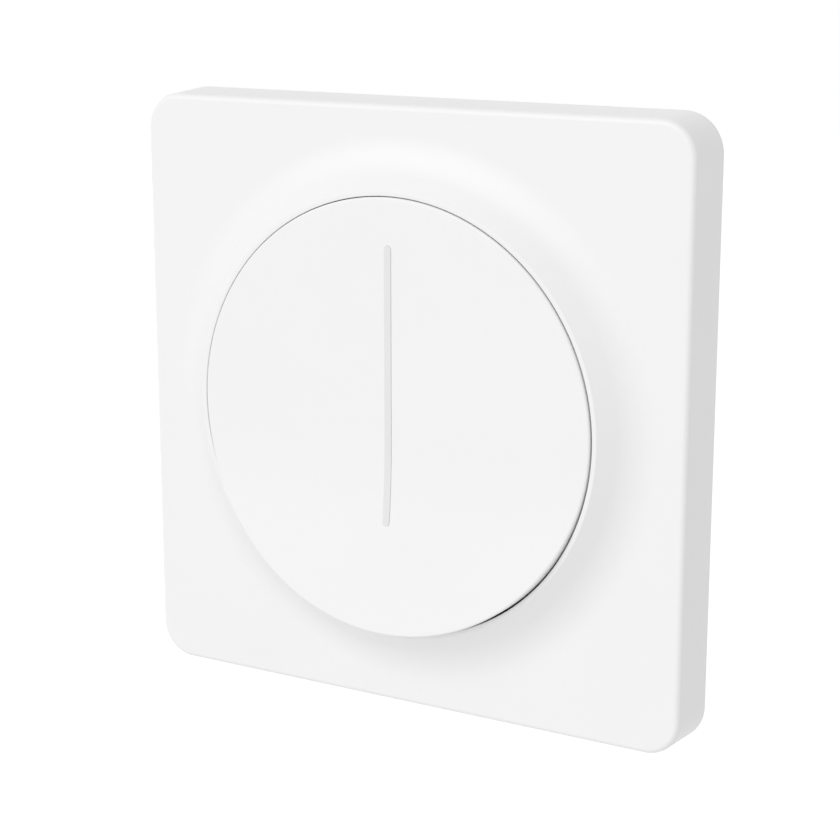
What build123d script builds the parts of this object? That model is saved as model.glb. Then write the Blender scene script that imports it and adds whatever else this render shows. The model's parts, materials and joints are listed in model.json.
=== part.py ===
from build123d import *
import os
from math import cos, radians, sin, sqrt, tan

os.makedirs("parts", exist_ok=True)

# Smart touch dimmer switch for a wall box, in millimetres.
# X runs to the right, Z up and Y into the wall. The wall's face is Y = 0 and the origin is the
# middle of the cover frame on it. A level is a distance in front of the wall, so levels inside
# the wall are negative.
wall = Plane.XZ

# Cover frame
plate_size = 86.0
plate_depth = 8.17
plate_corner = 5.5
plate_draft = 3.5
plate_edge_round = 0.8
skirt_wall = 2.0
face_wall = 1.8
collar_height = 3.6
collar_border = 4.4
rim_land = 0.65
rim_round = 0.15
flare_slope = 40.0
flare_run = 2.96
collar_wall = 1.5
lug_length = 12.0
lug_height = 1.2
lug_catch = 0.8
pry_slot_width = 9.0
pry_slot_height = 1.6

# Press plate, its hinge and its touch bar
disc_gap = 0.2
disc_rise = 0.1
disc_lift = 4.19
press_angle = 1.71
disc_ceiling = 2.0
disc_depth = 4.6
disc_wall = 1.6
disc_edge_round = 0.3
face_proud = 0.28
lip_start = 3.0
lip_bend_r = 100.0
lip_slope = 6.2
hinge_inset = 5.0
hinge_depth = 4.0
pin_r = 0.5
pin_fit = 0.02
pin_clearance = 0.05
hinge_gap = 0.3
ear_r = 1.1
ear_thickness = 1.8
post_inner_x = 6.2
post_thickness = 1.8
bar_top_gap = 6.4
bar_bottom_gap = 15.5
bar_width = 1.08
bar_proud = 0.1
bar_clearance = 0.03
bar_flange = 1.0
bar_flange_thickness = 0.8
rib_thickness = 0.9
rib_height = 1.4
rib_step = 12.0
rib_start_x = 6.5

# Touch board behind the bar
touch_board_width = 10.4
touch_board_thickness = 0.8
touch_board_corner = 1.0
touch_board_margin = 1.2
led_count = 7
led_width = 1.6
led_height = 0.8
led_depth = 0.6
led_gap = 0.2
stake_r = 0.6
stake_head_r = 1.0
stake_head_depth = 0.4
stake_boss_r = 1.2
stake_edge = 1.4
stake_clearance = 0.05
touch_chip_size = 4.0
touch_chip_depth = 0.75
touch_chip_drop = 7.5
ribbon_width = 5.0
ribbon_thickness = 0.15
ribbon_inset = 7.8
ribbon_lap = 4.0
ribbon_bend_r = 0.5
ribbon_slack = 0.45
ribbon_socket_height = 1.6
ribbon_socket_wall = 1.0
ribbon_socket_floor = 0.4
ribbon_slot_gap = 0.35

# Chassis and key board
chassis_thickness = 1.4
chassis_clearance = 0.25
chassis_corner = 3.0
touch_window_width = 14.4
touch_window_top_gap = 2.8
touch_window_bottom_gap = 1.7
key_board_width = 25.0
key_board_top_lip = 1.3
key_board_bottom_lip = 0.6
key_board_thickness = 1.0
key_board_corner = 1.5
board_gap = 0.8
board_screw_x = 10.0
board_screw_inset = 3.0
board_screw_bottom = -13.0
board_boss_r = 2.0
board_screw_r = 0.9
board_screw_head_r = 1.7
board_screw_head_depth = 0.5
board_screw_bite = 1.0
screw_clearance = 0.15
pilot_clearance = 0.05
key_below_board = 2.3
key_size = 6.0
key_height = 3.0
key_stem = 2.1
key_stem_r = 1.6
key_lid = 0.6
key_floor = 0.3
key_flange_r = 2.15
key_flange_depth = 0.6
key_clearance = 0.1
key_window_gap = 0.4
actuator_r = 1.5
actuator_tip_r = 1.0
actuator_tip_depth = 0.5
hook_x = 12.0
hook_inset = 6.0
hook_thickness = 1.6
hook_width = 1.4
hook_gap = 0.3
hook_catch = 0.05
barb_reach = 0.9
barb_height = 1.0
leg_x = 33.2
leg_z = 22.0
leg_thickness = 1.6
leg_width = 6.0
leg_gap = 0.25
leg_short = 0.1
module_width = 12.0
module_height = 15.0
module_board = 0.8
module_can_width = 10.0
module_can_height = 10.5
module_can_depth = 1.6
module_window_gap = 3.0
module_can_drop = 1.5
pin_count = 5
pin_pitch = 2.54
pin_side = 0.64
pin_slot_gap = 0.1
header_z = 9.0
header_width = 2.5
header_strip_depth = 0.8
header_end = 1.0
header_seat_gap = 0.1
socket_wall = 1.0

# Bracket, base cover and rear housing
bracket_size = 72.0
bracket_thickness = 1.0
bracket_corner = 4.0
bracket_opening = 30.0
bracket_opening_corner = 3.0
bracket_flange_length = 28.0
bracket_flange_height = 2.4
box_screw_pitch = 60.0
box_slot_width = 4.2
box_slot_length = 8.0
base_cover_thickness = 1.0
base_cover_inset = 0.5
base_screw_inset = 5.0
base_screw_r = 1.1
base_screw_head_r = 1.8
base_screw_head_depth = 0.9
base_screw_bite = 7.0
drive_slot_width = 0.6
drive_slot_depth = 0.5
base_boss_r = 2.5
base_boss_depth = 9.0
cover_post_r = 1.6
cover_post_pitch = 25.0
cover_vent_length = 16.0
cover_vent_count = 3
cover_vent_drop = 8.2
housing_size = 46.0
housing_corner = 8.0
housing_wall = 1.8
housing_depth = 27.0
housing_edge_round = 1.5
vent_width = 1.4
vent_pitch = 3.2
vent_count = 5
vent_length = 20.0
vent_up = 10.0
board_rib_reach = 1.8
board_rib_width = 1.5
board_rib_z = 8.0

# Power board and what stands on it
power_board_sink = 4.0
power_board_thickness = 1.6
power_board_clearance = 0.3
boss_notch_gap = 0.4
heat_sink_boss_gap = 0.5
heat_sink_floor_gap = 1.6
heat_sink_base = 2.0
heat_sink_fin = 1.2
heat_sink_fins = 6
heat_sink_z = 12.0
heat_sink_wall_gap = 0.6
transistor_x = 7.5
transistor_width = 10.0
transistor_tab_free = 6.0
transistor_thickness = 3.1
transistor_tab = 1.3
transistor_end_gap = 1.0
transistor_hole_r = 1.8
transistor_lift = 2.0
transistor_leg_width = 0.8
transistor_leg_depth = 0.5
transistor_leg_pitch = 2.54
choke_x = -13.5
choke_r = 5.3
choke_core_r = 4.6
choke_flange = 1.5
choke_height = 11.0
can_x = 13.5
can_r = 5.0
can_height = 16.0
can_round = 0.8
can_groove = 0.4
can_groove_up = 2.0
film_width = 12.0
film_depth = 6.0
film_height = 11.0
film_up = 6.7
film_round = 0.6
fuse_x = -4.0
fuse_r = 2.1
fuse_height = 7.5
small_part_up = 4.0
varistor_x = 4.0
varistor_r = 4.0
varistor_thickness = 3.0
varistor_lift = 0.6
rectifier_x = -8.0
rectifier_width = 8.0
rectifier_height = 6.4
rectifier_depth = 2.4

# Terminals
terminal_count = 4
terminal_pitch = 7.0
terminal_wall = 1.2
cage_wall = 0.6
cage_floor = 1.2
cage_nut = 1.8
cage_length = 7.0
cage_side_gap = 0.1
cage_end_gap = 0.2
cage_travel = 3.2
wire_way = 4.2
wire_gap = 0.05
contact_width = 3.2
contact_thickness = 0.8
contact_gap = 0.1
contact_tail = 0.6
clamp_screw_r = 1.5
clamp_thread_gap = 0.05
clamp_head_r = 2.3
clamp_head_depth = 1.6
clamp_head_gap = 0.2
clamp_head_sink = 0.3
clamp_shoulder = 1.2
clamp_slot_width = 0.8
clamp_slot_depth = 0.9
driver_hole_r = 2.0
block_entry_wall = 2.0
block_back_wall = 1.8
block_front_gap = 0.5

# Levels and sizes that follow from the values above
over = 1.0
chassis_front = plate_depth - face_wall
chassis_back = chassis_front - chassis_thickness
rim_level = plate_depth + collar_height
key_board_back = bracket_thickness + base_cover_thickness + board_gap
key_board_front = key_board_back + key_board_thickness
base_cover_front = bracket_thickness + base_cover_thickness
power_board_front = -power_board_sink
power_board_back = power_board_front - power_board_thickness
housing_back = -housing_depth
housing_floor = housing_back + housing_wall
housing_inner = housing_size / 2 - housing_wall

cone_width = collar_height / tan(radians(flare_slope))
flare_foot_r = plate_size / 2 - collar_border
rim_r = flare_foot_r - flare_run - cone_width
collar_bore_r = rim_r - rim_land

tilt = radians(press_angle)
disc_r = collar_bore_r - disc_gap
hinge_up = disc_r - hinge_inset
hook_drop = disc_r - hook_inset
bar_top = disc_r - bar_top_gap
bar_bottom = bar_bottom_gap - disc_r
bar_length = bar_top - bar_bottom
bar_up = (bar_top + bar_bottom) / 2
face_level = rim_level + face_proud
face_room = disc_r * tan(radians(lip_slope)) + over
disc_level = plate_depth + disc_lift
disc_plane = Plane(origin=(0, -disc_level, 0), x_dir=(1, 0, 0), z_dir=(0, -cos(tilt), sin(tilt)))
hinge_point = disc_plane.from_local_coords(Vector(0, hinge_up, -hinge_depth))
hinge_level = -hinge_point.Y
post_x = post_inner_x + post_thickness / 2
ear_x = post_inner_x + post_thickness + hinge_gap + ear_thickness / 2

seated = (Align.CENTER, Align.CENTER, Align.MIN)
sides = (-1, 1)


def spaced(count, pitch):
    """Places of a row of like things, centred on zero."""
    return [(i - (count - 1) / 2) * pitch for i in range(count)]


def depth_at(up, level):
    """How far behind the press plate's own plane a level lies, at a distance up the plate."""
    return (disc_level - up * sin(tilt) - level) / cos(tilt)


def block(plane, width, height, low, high, x=0.0, y=0.0, mode=Mode.ADD):
    """A box across a plane, from one height over it to another."""
    with Locations(plane.location * Location((x, y, low))):
        Box(width, height, high - low, align=seated, mode=mode)


def rod(plane, radius, low, high, x=0.0, y=0.0, mode=Mode.ADD):
    """A round bar square to a plane, from one height over it to another."""
    with Locations(plane.location * Location((x, y, low))):
        Cylinder(radius, high - low, align=seated, mode=mode)


def cross_rod(plane, radius, length, x, y, height, mode=Mode.ADD):
    """A round bar along X, centred at a point given on a plane and a height over it."""
    with Locations(plane.location * Location((x, y, height))):
        Cylinder(radius, length, rotation=(0, 90, 0), mode=mode)


# Cover frame: a drafted square shell with a flared round collar, moulded in one
cone_end_r = rim_r + cone_width - flare_run * cos(radians(flare_slope))
cone_end_level = plate_depth + flare_run * sin(radians(flare_slope))
skirt_inner = plate_size - 2 * skirt_wall
skirt_inner_half = skirt_inner / 2 - chassis_front * tan(radians(plate_draft))
chassis_half = skirt_inner_half - chassis_clearance
relief_inner_r = collar_bore_r + collar_wall
relief_drop = collar_wall / cos(radians(flare_slope))
relief_top = rim_level - (relief_inner_r - rim_r) * tan(radians(flare_slope)) - relief_drop
relief_outer_r = relief_inner_r + (relief_top - chassis_front) / tan(radians(flare_slope))
lug_inner = chassis_half - lug_catch
lug_outer = plate_size / 2 - skirt_wall / 2 - plate_depth * tan(radians(plate_draft))

with BuildPart() as cover_frame:
    with BuildSketch(wall):
        RectangleRounded(plate_size, plate_size, plate_corner)
    extrude(amount=plate_depth, taper=plate_draft)
    fillet(cover_frame.faces().sort_by(Axis.Y)[0].edges(), plate_edge_round)
    with BuildSketch(wall):
        RectangleRounded(skirt_inner, skirt_inner, plate_corner - skirt_wall)
    extrude(amount=chassis_front, taper=plate_draft, mode=Mode.SUBTRACT)
    rod(wall, flare_foot_r, -over, plate_depth + over, mode=Mode.SUBTRACT)
    with BuildSketch(Plane.XY):
        with BuildLine():
            land = Line((collar_bore_r, -rim_level), (rim_r, -rim_level))
            cone = Line(land @ 1, (cone_end_r, -cone_end_level))
            flare = TangentArc(cone @ 1, (flare_foot_r, -plate_depth), tangent=cone % 1)
            Polyline(
                flare @ 1,
                (flare_foot_r, -chassis_front),
                (collar_bore_r, -chassis_front),
                land @ 0,
            )
        make_face()
    revolve(axis=Axis.Y)
    with BuildSketch(Plane.XY):
        with BuildLine():
            Polyline(
                (relief_inner_r, -chassis_front),
                (relief_inner_r, -relief_top),
                (relief_outer_r, -chassis_front),
                close=True,
            )
        make_face()
    revolve(axis=Axis.Y, mode=Mode.SUBTRACT)
    rim_edges = cover_frame.edges().filter_by(GeomType.CIRCLE).group_by(Axis.Y)[0]
    fillet(rim_edges, rim_round)
    lug_width = lug_outer - lug_inner
    lug_middle = (lug_outer + lug_inner) / 2
    for side in sides:
        block(wall, lug_width, lug_length, chassis_back - lug_height, chassis_back, side * lug_middle, 0)
        block(wall, lug_length, lug_width, chassis_back - lug_height, chassis_back, 0, side * lug_middle)
    block(
        wall, pry_slot_width, 2 * skirt_wall, -over, pry_slot_height,
        0, -plate_size / 2, mode=Mode.SUBTRACT,
    )
cover_frame.part.label = "cover_frame"
export_step(cover_frame.part, "parts/cover_frame.step")

# Press plate: a hollow disc, tilted inside as it stands at rest, with its hinge ears, hooks and bosses.
# It stands a little high in the bore, because a press swings it down by as much again.
board_front_depth = disc_ceiling + bar_flange_thickness + led_gap + led_depth
board_back_depth = board_front_depth + touch_board_thickness
touch_board_top = bar_top + touch_board_margin
touch_board_bottom = bar_bottom - bar_flange - touch_board_margin
touch_board_middle = (touch_board_top + touch_board_bottom) / 2
stake_x = touch_board_width / 2 - stake_edge
stake_rows = (touch_board_bottom + stake_edge, touch_board_top - stake_edge)
disc_inner_r = disc_r - disc_wall
plunger_front = key_board_front + key_height + key_stem
key_drop = key_below_board - touch_board_bottom
actuator_depth = depth_at(-key_drop, plunger_front + key_clearance)
barb_depth = depth_at(-hook_drop, chassis_back - hook_catch)
hook_depth = barb_depth + barb_height
barb_x = hook_x + (hook_thickness + barb_reach) / 2
rib_rows = (-rib_step, 0.0, rib_step)

# The room in front of the plate's face from the side, flat above and bent out into a finger lip below
with BuildSketch(Plane(origin=(0, -face_level, 0), x_dir=(0, 0, 1), z_dir=(1, 0, 0))) as face_side:
    with BuildLine():
        flat = Line((2 * disc_r, 0), (-lip_start, 0))
        bend = JernArc(flat @ 1, flat % 1, lip_bend_r, -lip_slope)
        lip = PolarLine(bend @ 1, 2 * disc_r, direction=bend % 1)
        Polyline(lip @ 1, (-2 * disc_r, 2 * disc_r), (2 * disc_r, 2 * disc_r), flat @ 0)
    make_face()

with BuildPart() as press_plate:
    rod(disc_plane, disc_r, -disc_depth, face_room, y=disc_rise)
    extrude(face_side.sketch, disc_r + over, both=True, mode=Mode.SUBTRACT)
    outline = press_plate.edges().filter_by(GeomType.LINE, reverse=True).sort_by(Axis.Y)[:-1]
    fillet(outline, disc_edge_round)
    rod(disc_plane, disc_inner_r, -disc_depth, -disc_ceiling, y=disc_rise, mode=Mode.SUBTRACT)
    with BuildSketch(disc_plane.offset(face_room)):
        with Locations((0, bar_up)):
            SlotOverall(bar_length + 2 * bar_clearance, bar_width + 2 * bar_clearance, rotation=90)
    extrude(amount=-face_room - disc_ceiling, mode=Mode.SUBTRACT)
    for side in sides:
        for row in stake_rows:
            x = side * stake_x
            rod(disc_plane, stake_boss_r, -board_front_depth, -disc_ceiling, x, row)
            rod(disc_plane, stake_r, -board_back_depth, -board_front_depth, x, row)
            rod(disc_plane, stake_head_r, -board_back_depth - stake_head_depth, -board_back_depth, x, row)
        for row in rib_rows:
            rib_end_x = sqrt(disc_inner_r**2 - row**2) + disc_wall / 2
            rib_x = side * (rib_start_x + rib_end_x) / 2
            block(
                disc_plane, rib_end_x - rib_start_x, rib_thickness,
                -disc_ceiling - rib_height, -disc_ceiling, rib_x, row,
            )
        block(disc_plane, ear_thickness, 2 * ear_r, -hinge_depth, -disc_ceiling, side * ear_x, hinge_up)
        cross_rod(disc_plane, ear_r, ear_thickness, side * ear_x, hinge_up, -hinge_depth)
        block(disc_plane, hook_thickness, hook_width, -hook_depth, -disc_ceiling, side * hook_x, -hook_drop)
        block(disc_plane, barb_reach, hook_width, -hook_depth, -barb_depth, side * barb_x, -hook_drop)
    cross_rod(
        disc_plane, pin_r + pin_clearance, 2 * disc_inner_r,
        0, hinge_up, -hinge_depth, mode=Mode.SUBTRACT,
    )
    rod(disc_plane, actuator_r, actuator_tip_depth - actuator_depth, -disc_ceiling, 0, -key_drop)
    rod(disc_plane, actuator_tip_r, -actuator_depth, actuator_tip_depth - actuator_depth, 0, -key_drop)
press_plate.part.label = "press_plate"
export_step(press_plate.part, "parts/press_plate.step")

# Light bar: a diffuser just proud of the face and bent as it is, with a flange behind
bar_front = face_side.sketch.moved(Location((0, -bar_proud, 0)))
with BuildPart() as light_bar:
    with BuildSketch(disc_plane.offset(face_room)):
        with Locations((0, bar_up)):
            SlotOverall(bar_length, bar_width, rotation=90)
    extrude(amount=-face_room - disc_ceiling)
    extrude(bar_front, disc_r + over, both=True, mode=Mode.SUBTRACT)
    with BuildSketch(disc_plane.offset(-disc_ceiling)):
        with Locations((0, bar_up)):
            SlotOverall(bar_length + 2 * bar_flange, bar_width + 2 * bar_flange, rotation=90)
    extrude(amount=-bar_flange_thickness)
light_bar.part.label = "light_bar"
export_step(light_bar.part, "parts/light_bar.step")

# Touch board on the press plate's stakes
with BuildPart() as touch_board:
    with BuildSketch(disc_plane.offset(-board_back_depth)):
        with Locations((0, touch_board_middle)):
            RectangleRounded(touch_board_width, touch_board_top - touch_board_bottom, touch_board_corner)
        with Locations(*[(side * stake_x, row) for side in sides for row in stake_rows]):
            Circle(stake_r + stake_clearance, mode=Mode.SUBTRACT)
    extrude(amount=touch_board_thickness)
touch_board.part.label = "touch_board"
export_step(touch_board.part, "parts/touch_board.step")

# Row of light-emitting diodes behind the bar
with BuildPart() as slider_leds:
    with Locations(disc_plane.location * Location((0, bar_up, -board_front_depth))):
        with GridLocations(0, bar_length / led_count, 1, led_count):
            Box(led_width, led_height, led_depth, align=seated)
slider_leds.part.label = "slider_leds"
export_step(slider_leds.part, "parts/slider_leds.step")

# Touch controller on the back of the touch board
ribbon_up = touch_board_top - ribbon_inset
with BuildPart() as touch_chip:
    block(
        disc_plane, touch_chip_size, touch_chip_size,
        -board_back_depth - touch_chip_depth, -board_back_depth, 0, ribbon_up - touch_chip_drop,
    )
touch_chip.part.label = "touch_chip"
export_step(touch_chip.part, "parts/touch_chip.step")

# Ribbon cable from the touch board, down through the chassis into a socket on the key board
ribbon_socket_front = key_board_front + ribbon_socket_height
ribbon_end_level = key_board_front + ribbon_socket_floor + ribbon_slack
ribbon_depth = depth_at(ribbon_up, ribbon_end_level)
ribbon_end = disc_plane.from_local_coords(Vector(0, ribbon_up, -ribbon_depth))
ribbon_side = Plane(origin=disc_plane.origin, x_dir=disc_plane.y_dir, z_dir=disc_plane.x_dir)
ribbon_height = -board_back_depth - ribbon_thickness / 2

with BuildPart() as ribbon_cable:
    with BuildSketch(ribbon_side):
        with BuildLine():
            FilletPolyline(
                (ribbon_up + ribbon_lap, ribbon_height),
                (ribbon_up, ribbon_height),
                (ribbon_up, -ribbon_depth),
                radius=ribbon_bend_r,
            )
        trace(line_width=ribbon_thickness)
    extrude(amount=ribbon_width / 2, both=True)
ribbon_cable.part.label = "ribbon_cable"
export_step(ribbon_cable.part, "parts/ribbon_cable.step")

ribbon_slot_width = ribbon_width + 2 * ribbon_slot_gap
ribbon_slot_height = ribbon_thickness + 2 * ribbon_slot_gap
ribbon_socket_width = ribbon_slot_width + 2 * ribbon_socket_wall
ribbon_socket_length = ribbon_slot_height + 2 * ribbon_socket_wall
with BuildPart() as ribbon_socket:
    block(
        wall, ribbon_socket_width, ribbon_socket_length,
        key_board_front, ribbon_socket_front, 0, ribbon_end.Z,
    )
    block(
        wall, ribbon_slot_width, ribbon_slot_height,
        key_board_front + ribbon_socket_floor, ribbon_socket_front, 0, ribbon_end.Z, mode=Mode.SUBTRACT,
    )
ribbon_socket.part.label = "ribbon_socket"
export_step(ribbon_socket.part, "parts/ribbon_socket.step")

# Chassis: the plate that the cover frame's lugs hold, with hinge posts, windows and clip legs
actuator_tip = disc_plane.from_local_coords(Vector(0, -key_drop, -actuator_depth))
key_z = actuator_tip.Z
hook_point = disc_plane.from_local_coords(Vector(0, -hook_drop, -barb_depth))
key_window = key_size + 2 * key_window_gap
touch_window_top = hinge_point.Z - ear_r - touch_window_top_gap
touch_window_bottom = key_z + key_window / 2 + touch_window_bottom_gap
touch_window_height = touch_window_top - touch_window_bottom
touch_window_z = (touch_window_top + touch_window_bottom) / 2
key_board_top = ribbon_end.Z + ribbon_socket_length / 2 + key_board_top_lip
key_board_bottom = key_z - key_size / 2 - key_board_bottom_lip
board_screw_rows = (board_screw_bottom, key_board_top - board_screw_inset)
board_screw_places = [(side * board_screw_x, row) for side in sides for row in board_screw_rows]
leg_places = [(across * leg_x, up * leg_z) for across in sides for up in sides]

with BuildPart() as chassis:
    with BuildSketch(wall.offset(chassis_back)):
        RectangleRounded(2 * chassis_half, 2 * chassis_half, chassis_corner)
        with Locations((0, touch_window_z)):
            Rectangle(touch_window_width, touch_window_height, mode=Mode.SUBTRACT)
        with Locations((0, key_z)):
            Rectangle(key_window, key_window, mode=Mode.SUBTRACT)
        with Locations((-hook_x, hook_point.Z), (hook_x, hook_point.Z)):
            Rectangle(hook_thickness + 2 * hook_gap, hook_width + 2 * hook_gap, mode=Mode.SUBTRACT)
    extrude(amount=chassis_thickness)
    for side in sides:
        block(wall, post_thickness, 2 * ear_r, chassis_front, hinge_level, side * post_x, hinge_point.Z)
        cross_rod(wall, ear_r, post_thickness, side * post_x, hinge_point.Z, hinge_level)
        cross_rod(
            wall, pin_r + pin_fit, post_thickness, side * post_x, hinge_point.Z, hinge_level,
            mode=Mode.SUBTRACT,
        )
    for x, z in leg_places:
        block(wall, leg_thickness, leg_width, leg_short, chassis_back, x, z)
    for x, z in board_screw_places:
        rod(wall, board_boss_r, key_board_front, chassis_back, x, z)
        rod(
            wall, board_screw_r + pilot_clearance, key_board_front, chassis_back + board_screw_bite,
            x, z, mode=Mode.SUBTRACT,
        )
chassis.part.label = "chassis"
export_step(chassis.part, "parts/chassis.step")

# Hinge pins, held in the chassis posts
pin_length = post_thickness + hinge_gap + ear_thickness
with BuildPart() as hinge_pins:
    for side in sides:
        pin_x = side * (post_inner_x + pin_length / 2)
        cross_rod(wall, pin_r, pin_length, pin_x, hinge_point.Z, hinge_level)
hinge_pins.part.label = "hinge_pins"
export_step(hinge_pins.part, "parts/hinge_pins.step")

# Key board behind the chassis, and its four screws
with BuildPart() as key_board:
    with BuildSketch(wall.offset(key_board_back)):
        with Locations((0, (key_board_top + key_board_bottom) / 2)):
            RectangleRounded(key_board_width, key_board_top - key_board_bottom, key_board_corner)
        with Locations(*board_screw_places):
            Circle(board_screw_r + screw_clearance, mode=Mode.SUBTRACT)
    extrude(amount=key_board_thickness)
key_board.part.label = "key_board"
export_step(key_board.part, "parts/key_board.step")

with BuildPart() as board_screws:
    for x, z in board_screw_places:
        rod(wall, board_screw_head_r, key_board_back - board_screw_head_depth, key_board_back, x, z)
        rod(wall, board_screw_r, key_board_back, chassis_back + board_screw_bite - screw_clearance, x, z)
board_screws.part.label = "board_screws"
export_step(board_screws.part, "parts/board_screws.step")

# Push switch under the lower half of the press plate: a case and its plunger
key_case_front = key_board_front + key_height
with BuildPart() as key_switch_body:
    block(wall, key_size, key_size, key_board_front, key_case_front, 0, key_z)
    rod(
        wall, key_flange_r + key_clearance, key_board_front + key_floor, key_case_front - key_lid,
        0, key_z, mode=Mode.SUBTRACT,
    )
    rod(
        wall, key_stem_r + key_clearance, key_case_front - key_lid, key_case_front,
        0, key_z, mode=Mode.SUBTRACT,
    )
key_switch_body.part.label = "key_switch_body"
export_step(key_switch_body.part, "parts/key_switch_body.step")

key_flange_front = key_case_front - key_lid - pilot_clearance
with BuildPart() as key_plunger:
    rod(wall, key_flange_r, key_flange_front - key_flange_depth, key_flange_front, 0, key_z)
    rod(wall, key_stem_r, key_flange_front, plunger_front, 0, key_z)
key_plunger.part.label = "key_plunger"
export_step(key_plunger.part, "parts/key_plunger.step")

# Radio module on the front of the key board
module_z = touch_window_bottom + module_window_gap + module_height / 2
module_face = key_board_front + module_board
with BuildPart() as wireless_module:
    block(wall, module_width, module_height, key_board_front, module_face, 0, module_z)
    block(
        wall, module_can_width, module_can_height, module_face, module_face + module_can_depth,
        0, module_z - module_can_drop,
    )
wireless_module.part.label = "wireless_module"
export_step(wireless_module.part, "parts/wireless_module.step")

# Pin strip on the back of the key board, and the socket that it plugs into
header_length = pin_count * pin_pitch
strip_back = key_board_back - header_strip_depth
socket_front = strip_back - header_seat_gap
pin_tip = power_board_front + header_end
pin_columns = spaced(pin_count, pin_pitch)
socket_hole = pin_side + 2 * pin_slot_gap
socket_length = header_length + 2 * socket_wall
socket_width = header_width + 2 * socket_wall

with BuildPart() as header_pins:
    block(wall, header_length, header_width, strip_back, key_board_back, 0, header_z)
    for x in pin_columns:
        block(wall, pin_side, pin_side, pin_tip, strip_back, x, header_z)
header_pins.part.label = "header_pins"
export_step(header_pins.part, "parts/header_pins.step")

with BuildPart() as header_socket:
    block(wall, socket_length, socket_width, power_board_front, socket_front, 0, header_z)
    for x in pin_columns:
        block(
            wall, socket_hole, socket_hole, power_board_front + header_end / 2, socket_front,
            x, header_z, mode=Mode.SUBTRACT,
        )
header_socket.part.label = "header_socket"
export_step(header_socket.part, "parts/header_socket.step")

# Mounting bracket: pressed steel with slots for the wall box and windows for the clip legs
base_screw_x = housing_size / 2 - base_screw_inset
base_screw_places = [(a * base_screw_x, b * base_screw_x) for a in sides for b in sides]
box_screw_x = box_screw_pitch / 2
flange_x = (bracket_size - bracket_thickness) / 2

with BuildPart() as mounting_bracket:
    with BuildSketch(wall):
        RectangleRounded(bracket_size, bracket_size, bracket_corner)
        RectangleRounded(bracket_opening, bracket_opening, bracket_opening_corner, mode=Mode.SUBTRACT)
        with Locations((-box_screw_x, 0), (box_screw_x, 0)):
            SlotOverall(box_slot_length, box_slot_width, mode=Mode.SUBTRACT)
        with Locations((0, -box_screw_x), (0, box_screw_x)):
            SlotOverall(box_slot_length, box_slot_width, rotation=90, mode=Mode.SUBTRACT)
        with Locations(*leg_places):
            Rectangle(leg_thickness + 2 * leg_gap, leg_width + 2 * leg_gap, mode=Mode.SUBTRACT)
        with Locations(*base_screw_places):
            Circle(base_screw_r + screw_clearance, mode=Mode.SUBTRACT)
    extrude(amount=bracket_thickness)
    for side in sides:
        block(
            wall, bracket_thickness, bracket_flange_length, 0, bracket_thickness + bracket_flange_height,
            side * flange_x, 0,
        )
mounting_bracket.part.label = "mounting_bracket"
export_step(mounting_bracket.part, "parts/mounting_bracket.step")

# Base cover in front of the bracket, with vents and posts that hold the power board down
cover_size = housing_size - 2 * base_cover_inset
cover_posts = [(a * cover_post_pitch / 2, b * cover_post_pitch / 2) for a in sides for b in sides]

with BuildPart() as base_cover:
    with BuildSketch(wall.offset(bracket_thickness)):
        RectangleRounded(cover_size, cover_size, housing_corner - base_cover_inset)
        with Locations((0, header_z)):
            Rectangle(socket_length + 2 * pin_slot_gap, socket_width + 2 * pin_slot_gap, mode=Mode.SUBTRACT)
        with Locations(*base_screw_places):
            Circle(base_screw_r + screw_clearance, mode=Mode.SUBTRACT)
        with Locations(*[(0, row - cover_vent_drop) for row in spaced(cover_vent_count, vent_pitch)]):
            SlotOverall(cover_vent_length, vent_width, mode=Mode.SUBTRACT)
    extrude(amount=base_cover_thickness)
    for x, z in cover_posts:
        rod(wall, cover_post_r, power_board_front, bracket_thickness, x, z)
base_cover.part.label = "base_cover"
export_step(base_cover.part, "parts/base_cover.step")

with BuildPart() as base_screws:
    for x, z in base_screw_places:
        head_top = base_cover_front + base_screw_head_depth
        rod(wall, base_screw_head_r, base_cover_front, head_top, x, z)
        rod(wall, base_screw_r, -base_screw_bite, base_cover_front, x, z)
        block(
            wall, 2 * base_screw_head_r, drive_slot_width, head_top - drive_slot_depth, head_top,
            x, z, mode=Mode.SUBTRACT,
        )
base_screws.part.label = "base_screws"
export_step(base_screws.part, "parts/base_screws.step")

# Terminals, front to back: the cage's floor, the wire way, the contact bar, the cage's nut wall
cage_width = terminal_pitch - terminal_wall - 2 * cage_side_gap
chamber_width = cage_width + 2 * cage_side_gap
chamber_length = cage_length + 2 * cage_end_gap
block_bottom = -housing_inner
chamber_bottom = block_bottom + block_entry_wall
chamber_top = chamber_bottom + chamber_length
block_top = chamber_top + block_back_wall
chamber_z = (chamber_bottom + chamber_top) / 2
head_seat = housing_floor + clamp_head_sink + clamp_head_depth
chamber_back = head_seat + clamp_shoulder
cage_back = chamber_back + contact_gap + cage_travel
nut_front = cage_back + cage_nut
contact_back = nut_front + cage_nut / 2 + contact_gap
contact_front = contact_back + contact_thickness
way_back = contact_front + wire_gap
way_front = way_back + wire_way
cage_floor_back = way_front + wire_gap
cage_front = cage_floor_back + cage_floor
block_front = cage_front + block_front_gap
block_width = terminal_count * terminal_pitch + terminal_wall
terminal_columns = spaced(terminal_count, terminal_pitch)
contact_bottom = chamber_bottom + 2 * cage_end_gap
contact_top = block_top + contact_thickness
way_width = wire_way + 2 * wire_gap

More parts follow.
